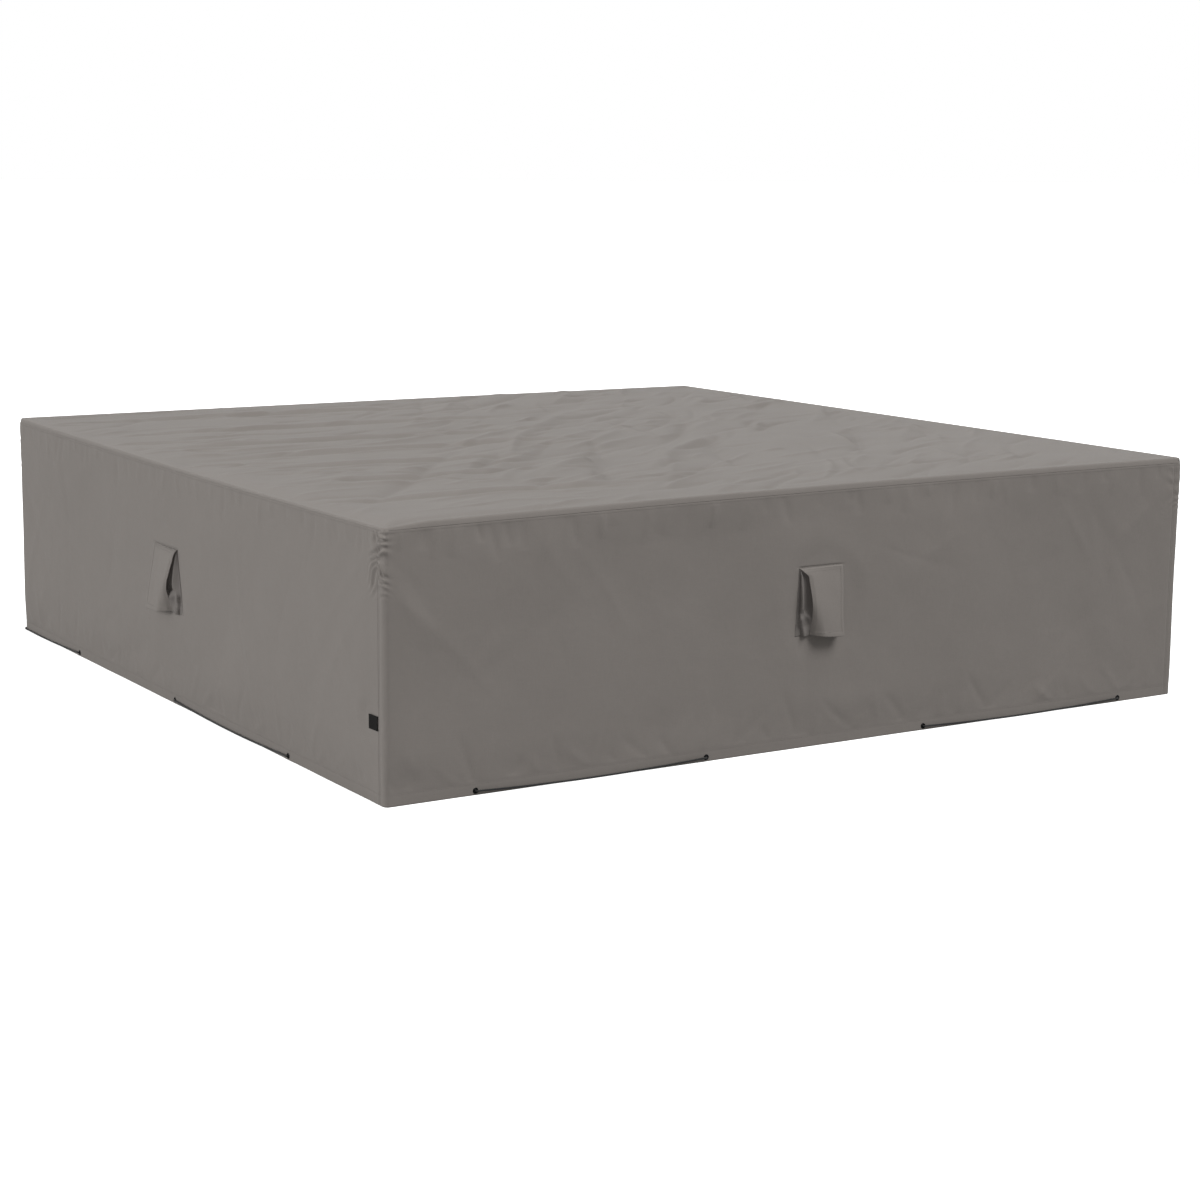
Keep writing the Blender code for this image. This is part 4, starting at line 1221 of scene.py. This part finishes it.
def flap_out(side, x, drop):
    """How far the flap stands off the skirt, at a place across it and a distance down it."""
    t = np.clip(drop / HOOD_LENGTH, 0, 1)
    near = near_share(side, x)
    bulge = NEAR_BULGE * near**1.5 * np.sin(math.pi * t**0.75) ** 0.8
    curl = NEAR_CURL * smooth((near - 0.50 - 0.25 * (1 - t)) / 0.38) * smooth((t - 0.42) / 0.55)
    middle = 0.0020 * np.sin(math.pi * t) * 4 * near * (1 - near)
    return HOOD_OUT + HOOD_SLOPE * drop + bulge - curl + middle


def flap_edge(side, way, drop):
    """Where the flap's edge lies across the vent: its pleats draw the near one in below the seam."""
    if way == NEAR_EDGE[side]:
        places, inwards = zip(*NEAR_DRAWN_IN[side])
        return way * (NEAR_HALF - np.interp(drop, places, inwards))
    return way * (FAR_HALF[side] - FAR_DRAWN_IN[side] * smooth(drop / 0.17))


def vent_points(side, x, drop, out):
    """Points on a side's vent, in the model's frame."""
    vent_x, _, top = VENTS[side]
    return turned(np.stack(np.broadcast_arrays(vent_x + x, -HALF - out, top - drop), -1), side)


def shut_flat(piece, side):
    """Gives a piece of the hood its own copy of its mesh."""
    hinge = vent_points(side, 0.0, 0.0, HOOD_OUT)
    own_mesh(piece)


def make_flap(side):
    """The hood's flap: doubled cloth with a turned hem, standing off the skirt, its near corner curled."""
    across = np.concatenate([np.linspace(0, 0.08, 7), np.linspace(0.10, 0.90, 36), np.linspace(0.92, 1, 7)])
    fine = [(0.0, 0.008, 0.0016), (HOOD_LENGTH - 0.016, HOOD_LENGTH, 0.002)]
    u, drop = np.meshgrid(across, grid_lines(0.0, HOOD_LENGTH, 0.004, fine))
    x = flap_edge(side, -1, drop) * (1 - u) + flap_edge(side, 1, drop) * u
    near = u if NEAR_EDGE[side] == 1 else 1 - u
    out = flap_out(side, x, drop) - 0.005 * smooth((near - 0.86) / 0.14) ** 2 * smooth(drop / 0.04)
    out = out + 0.0014 * noise(81 + SIDES.index(side), x, drop, 0.045, 0.06) * smooth(drop / 0.03)
    from_edge = np.minimum(u, 1 - u) * (NEAR_HALF + FAR_HALF[side])
    hem = np.maximum(smooth((drop - HOOD_LENGTH + 0.013) / 0.002), smooth((0.010 - from_edge) / 0.002))
    out = out + 0.0008 * hem * smooth(drop / 0.01) - 0.0014 * bump(drop / 0.0020)
    shortened = drop * (1 - 0.045 * near**2 * smooth(drop / HOOD_LENGTH))
    points = vent_points(side, x, shortened, out)
    uv = np.stack([x, -drop], -1)
    flap = mesh_object(side + "_hood_cloth", points, grid_faces(*u.shape), [OUTSIDE, OUTSIDE], uv)
    thicken(flap, FLAP_THICKNESS)
    finish_piece(flap, side + "_hood", "cover_fabric", side + "_vent_hood")
    make_flap_stitching(side, flap)
    shut_flat(flap, side)


def make_flap_stitching(side, flap):
    """Two rows along the seam, and one row beside each other edge."""
    reach = max(NEAR_HALF, FAR_HALF[side])
    lines = [((-reach, down), (reach, down)) for down in (0.0045, 0.0105, HOOD_LENGTH - 0.0145)]
    ends = [stitch_line(start, end, 0.0040) for start, end in lines]
    for way in (-1, 1):
        row = stitch_line((0.0, 0.012), (0.0, HOOD_LENGTH - 0.014), 0.0040)
        row[..., 0] = flap_edge(side, way, row[..., 1]) - way * 0.0085
        ends.append(row)
    flat = np.concatenate(ends)
    low, high = (flap_edge(side, way, flat[..., 1]) for way in (-1, 1))
    flat = flat[((flat[..., 0] > low + 0.003) & (flat[..., 0] < high - 0.003)).all(1)]
    spots = vent_points(side, flat[..., 0], flat[..., 1], flap_out(side, flat[..., 0], flat[..., 1]))
    outward = turned((0.0, -1.0, 0.0), side)
    made = stitching(side + "_hood_stitching", flap, spots, outward)
    finish_piece(made, side + "_hood", "cover_fabric")
    shut_flat(made, side)


def pleated(side, v, drop):
    """The shares of the way across and out, at a share v of a near gusset's width: pleated near its top."""
    spots = np.linspace(0, 1, len(PLEATS[side]))
    upper = smooth(drop / 0.016) * smooth((0.128 + 0.04 * abs(v - 0.5) - drop) / 0.024)
    shares = []
    for section in np.array(PLEATS[side]).T:
        folded = sum(np.interp(np.clip(v + step, 0, 1), spots, section) for step in (-0.03, 0, 0.03)) / 3
        shares.append(v + (folded - v) * upper)
    return shares


def billow(side, v, drop):
    """How far a near gusset's loose lower part stands out sideways and away from the skirt."""
    t = drop / HOOD_LENGTH
    lower = smooth((drop - 0.110) / 0.03) * np.sin(math.pi * v)
    creased = np.cos(2 * math.pi * (1.3 * v - t * 2.0)) - 0.6 * np.cos(2 * math.pi * (0.8 * v + t * 3.1))
    return lower * (BILLOW[side] + 0.003 * creased), lower * 0.0055 * creased


def gusset_shape(side, way, v, drop):
    """How far across the vent and how far out a gusset's points lie. Share v runs from skirt to flap."""
    edge_x = flap_edge(side, way, drop) - way * 0.0012
    edge_out = flap_out(side, edge_x, drop) - 0.0020
    if way == NEAR_EDGE[side]:
        wall_x = way * (NEAR_HALF + GUSSET_SPREAD[side] * drop / HOOD_LENGTH)
        edge_out = edge_out - 0.005 * smooth(drop / 0.04)
        across, outwards = pleated(side, v, drop)
        spread, stand = billow(side, v, drop)
    else:
        wall_x = way * (FAR_HALF[side] + 0.001)
        across, outwards = v, v
        spread, stand = -0.006 * np.sin(math.pi * v) * smooth(drop / 0.05), 0.0
    x = wall_x + (edge_x - wall_x) * across + way * spread
    x = x + 0.0010 * noise(91 + SIDES.index(side), v, drop, 0.3, 0.03) * np.sin(math.pi * v)
    out = GUSSET_OUT + (np.maximum(edge_out, 0.001) - GUSSET_OUT) * outwards + stand
    return x, np.maximum(out, 0.0008)


def make_gusset(side, way):
    """The cloth between the skirt and one edge of the flap: pleated at the near edge, plain at the other."""
    count = 61 if way == NEAR_EDGE[side] else 17
    v, drop = np.meshgrid(np.linspace(0, 1, count), grid_lines(0.004, HOOD_LENGTH - 0.006, 0.003))
    x, out = gusset_shape(side, way, v, drop)
    uv = np.stack([v * 0.05, -drop], -1)
    faces = grid_faces(*v.shape)
    if way == 1:
        faces = faces[:, ::-1]
    ending = {-1: "left", 1: "right"}[way]
    points = vent_points(side, x, drop, out)
    # The gusset's cloth is painted darker than the cover's, as painted shade for its pleats
    gusset = mesh_object(f"{side}_gusset_{ending}_cloth", points, faces, [SHADED, SHADED], uv)
    thicken(gusset, GUSSET_THICKNESS)
    finish_piece(gusset, "cover", "cover_fabric", f"{side}_vent_gusset_{ending}")
    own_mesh(gusset)


def make_screen(side):
    """The insect screen: two sets of flat yarns woven over and under each other."""
    low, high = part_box(side + "_vent_screen")
    reach, middle = (high.z - low.z) / 2, (low.z + high.z) / 2
    vent_x = VENTS[side][0]
    depth = abs(turned(centre(side + "_vent_screen"), side, back=True)[1])
    count = round(2 * reach / SCREEN_PITCH)
    steps = np.linspace(-reach, reach, 2 * count + 1)
    strips = []
    for i in range(count):
        line = (i + 0.5) / count * 2 * reach - reach
        wave = YARN_WAVE * np.sin(math.pi * ((steps + reach) * count / (2 * reach) + i % 2 + 0.5))
        for axis in (0, 1):
            sides = []
            for off, lift in YARN_SECTION:
                along = np.full(steps.shape, line + off)
                level = (wave if axis else -wave) + lift
                x, z = (steps, along) if axis else (along, steps)
                sides.append(np.stack([vent_x + x, -depth + level, middle + z], -1))
            strips.append(np.stack(sides, 1))
    rows, corners = len(steps), len(YARN_SECTION)
    faces = [grid_faces(rows, corners, is_ring=True, first=k * rows * corners) for k in range(len(strips))]
    points = turned(np.array(strips).reshape(-1, 3), side)
    screen = mesh_object(side + "_screen_mesh", points, np.concatenate(faces), [SCREEN])
    close_ends(screen)
    finish_piece(screen, "cover", "screen", side + "_vent_screen")


def make_prop(side):
    """The prop: a stiff strap of webbing, thick at its sewn fold, on the hood. It ends on the hook tape."""
    node = frame["nodes"][side + "_vent_prop"]
    local = np.array([turned(vert.co, side, back=True) for vert in node.data.vertices])
    pivot = turned(JOINTS[side + "_prop_hinge"]["pos_m"], side, back=True)
    reach = np.linalg.norm(local[:, 1:] - pivot[1:], axis=1)
    tip = local[reach > reach.max() - 0.003][:, 1:].mean(0) - pivot[1:]
    length = np.linalg.norm(tip)
    tip /= length
    t, w = np.meshgrid(np.linspace(-0.0012, length, 26), np.linspace(-0.011, 0.011, 15))
    edge = 0.0003 * smooth((abs(w) - 0.0085) / 0.0015)
    rib = 0.00012 * np.cos(w * 2 * math.pi / 0.0022)
    half_thick = 0.00055 + edge + rib + 0.0002 * bump((t - 0.004) / 0.0012)
    points = []
    for thick in (half_thick, -half_thick):
        y = pivot[1] + tip[0] * t + tip[1] * thick
        z = pivot[2] + tip[1] * t - tip[0] * thick
        points.append(np.stack([pivot[0] + w, y, z], -1))
    points = turned(np.array(points), side)
    uv = np.stack([t, w], -1)
    front = grid_faces(*t.shape)
    faces = np.concatenate([front, front[:, ::-1] + t.size])
    strap = mesh_object(side + "_prop_strap", points, faces, [WEBBING], np.array([uv, uv]))
    reshape(strap, lambda shape: bmesh.ops.bridge_loops(shape, edges=open_edges(shape)))
    finish_piece(strap, side + "_prop", "prop", side + "_vent_prop")


def make_hook_patch(side):
    """The hook tape: a backing with rows of bent hooks."""
    low, high = local_box(side + "_vent_hook_patch", side)
    face = high[1] - HOOK_BACKING
    backing, corners = box_points((low[0], face, low[2]), high)
    hook, _ = box_points((-0.00022, 0, -0.00022), (0.00022, 1, 0.00022))
    hook[:, 2] += 0.0005 * (1 - hook[:, 1]) ** 2
    head, foot = low[1] + 0.00005, face + 0.0001
    hook[:, 1] = head + (foot - head) * hook[:, 1]
    points, faces = [backing], [corners]
    for x in np.arange(low[0] + HOOK_PITCH, high[0] - HOOK_PITCH / 2, HOOK_PITCH):
        for z in np.arange(low[2] + HOOK_PITCH, high[2] - HOOK_PITCH / 2, HOOK_PITCH):
            faces.append(corners + len(points) * len(backing))
            points.append(hook + (x, 0, z))
    points = turned(np.concatenate(points), side)
    patch = mesh_object(side + "_hook_tape", points, np.concatenate(faces), [HOOKS])
    patch.data.shade_flat()
    finish_piece(patch, "cover", "hook_tape", side + "_vent_hook_patch")


# ---------------------------------------------------------------- the label
def make_label():
    """A folded woven label with a turned edge, a little curled away from the skirt at its free end."""
    low, high = local_box("side_label", "left")
    low += (0.004, 0.0, 0.0015)
    high -= (0.0, 0.0, 0.0015)
    x, z = np.meshgrid(np.linspace(low[0], high[0], 36), np.linspace(high[2], low[2], 32))
    free = (high[0] - x) / (high[0] - low[0])
    border = np.minimum(np.minimum(x - low[0], high[0] - x), np.minimum(z - low[2], high[2] - z))
    y = low[1] - 0.0004 - 0.0022 * free**2 - 0.0003 * smooth(1 - border / 0.0025)
    y = y + 0.0002 * noise(101, x, z, 0.02, 0.02)
    points = turned(np.stack([x, y, z], -1), "left")
    label = mesh_object("label_cloth", points, grid_faces(*x.shape), [LABEL_CLOTH], np.stack([x, z], -1))
    thicken(label, LABEL_THICKNESS)
    finish_piece(label, "side_label", "label", "side_label")
    make_label_stitching(label, low, high)


def make_label_stitching(label, low, high):
    """One row round the label, inside its turned edge."""
    inset = 0.0035
    lines = box_lines(low[[0, 2]] + inset, high[[0, 2]] - inset)
    flat = np.concatenate([stitch_line(start, end, 0.0028) for start, end in lines])
    level = np.full(flat.shape[:2], low[1])
    spots = turned(np.stack([flat[..., 0], level, flat[..., 1]], -1), "left")
    outward = turned((0.0, -1.0, 0.0), "left")
    made = stitching("label_stitching", label, spots, outward, 0.0003, DARK_THREAD)
    finish_piece(made, "side_label", "label")


# ---------------------------------------------------------------- studio
def make_floor():
    """A wide, plain, pale floor. It throws less light on the cover's sides than it shows to the camera."""
    material, tree, shader = principled("studio_floor", 0.9, specular=0.1)
    seen = add(tree, "ShaderNodeLightPath").outputs["Is Camera Ray"]
    inputs = {0: seen, 6: (*FLOOR_BOUNCE, 1.0), 7: (*FLOOR_COLOUR, 1.0)}
    colour = add(tree, "ShaderNodeMix", inputs, data_type="RGBA").outputs[2]
    speckle = noise_node(tree, add(tree, "ShaderNodeTexCoord").outputs["Object"], 2.0)
    colour = mixed(tree, colour, centred(tree, speckle, 0.01))
    tree.links.new(colour, shader.inputs["Base Color"])
    tree.links.new(math_node(tree, "MULTIPLY", seen, FLOOR_GLOW), shader.inputs["Emission Strength"])
    shader.inputs["Emission Color"].default_value = (1.0, 1.0, 1.0, 1.0)
    points = [(x, y, -0.0002) for y in (120.0, -120.0) for x in (-120.0, 120.0)]
    mesh_object("studio_floor", points, grid_faces(2, 2), [material])


def make_camera():
    """The camera stands at the front left and looks a little down."""
    data = bpy.data.cameras.new("camera")
    data.lens = CAMERA_LENS
    data.sensor_width = 36.0
    data.clip_end = 200.0
    camera = link("camera", data)
    camera.location = CAMERA_PLACE
    ahead = Vector((0.0, math.cos(CAMERA_PITCH), -math.sin(CAMERA_PITCH)))
    ahead.rotate(Matrix.Rotation(-CAMERA_AZIMUTH, 3, "Z"))
    right = ahead.cross(Vector((0, 0, 1))).normalized()
    above = right.cross(ahead)
    turn_right = right * math.cos(CAMERA_ROLL) + above * math.sin(CAMERA_ROLL)
    turn_above = above * math.cos(CAMERA_ROLL) - right * math.sin(CAMERA_ROLL)
    axes = Matrix((turn_right, turn_above, -ahead)).transposed()
    camera.rotation_mode = "QUATERNION"
    camera.rotation_quaternion = axes.to_quaternion()
    bpy.context.scene.camera = camera


def add_sun(name, way, strength, spread):
    """A lamp as far off as the sun, in the direction of its way, its disc this many degrees wide."""
    data = bpy.data.lights.new(name, "SUN")
    data.energy = strength
    data.angle = math.radians(spread)
    lamp = link(name, data)
    lamp.rotation_mode = "QUATERNION"
    lamp.rotation_quaternion = Vector(way).to_track_quat("Z", "Y")


def make_lights():
    """A soft key light high in front, a lower one on the left, and an even pale sky."""
    add_sun("key", KEY_WAY, KEY_STRENGTH, 36)
    add_sun("side", SIDE_WAY, SIDE_STRENGTH, 30)
    world = bpy.data.worlds.new("studio")
    world.use_nodes = True
    tree = world.node_tree
    seen = add(tree, "ShaderNodeLightPath").outputs["Is Camera Ray"]
    strength = add(tree, "ShaderNodeMix", {0: seen, 2: SKY_STRENGTH, 3: 1.0}).outputs[0]
    tree.nodes["Background"].inputs["Color"].default_value = (1.0, 1.0, 1.0, 1.0)
    tree.links.new(strength, tree.nodes["Background"].inputs["Strength"])
    bpy.context.scene.world = world
    bpy.context.scene.view_settings.view_transform = "Standard"


def build():
    make_top()
    for side in SIDES:
        skirt = make_skirt(side)
        make_skirt_stitching(side, skirt)
        make_flap(side)
        for way in (-1, 1):
            make_gusset(side, way)
        make_screen(side)
        make_prop(side)
        make_hook_patch(side)
    make_top_tape()
    for number in range(4):
        make_corner_tape(number)
    make_cord()
    make_eyelets()
    make_barrel()
    make_plunger()
    make_coil()
    make_cord_end("cord_end_left", -1)
    make_cord_end("cord_end_right", 1)
    make_label()
    make_camera()
    make_lights()
    make_floor()


build()
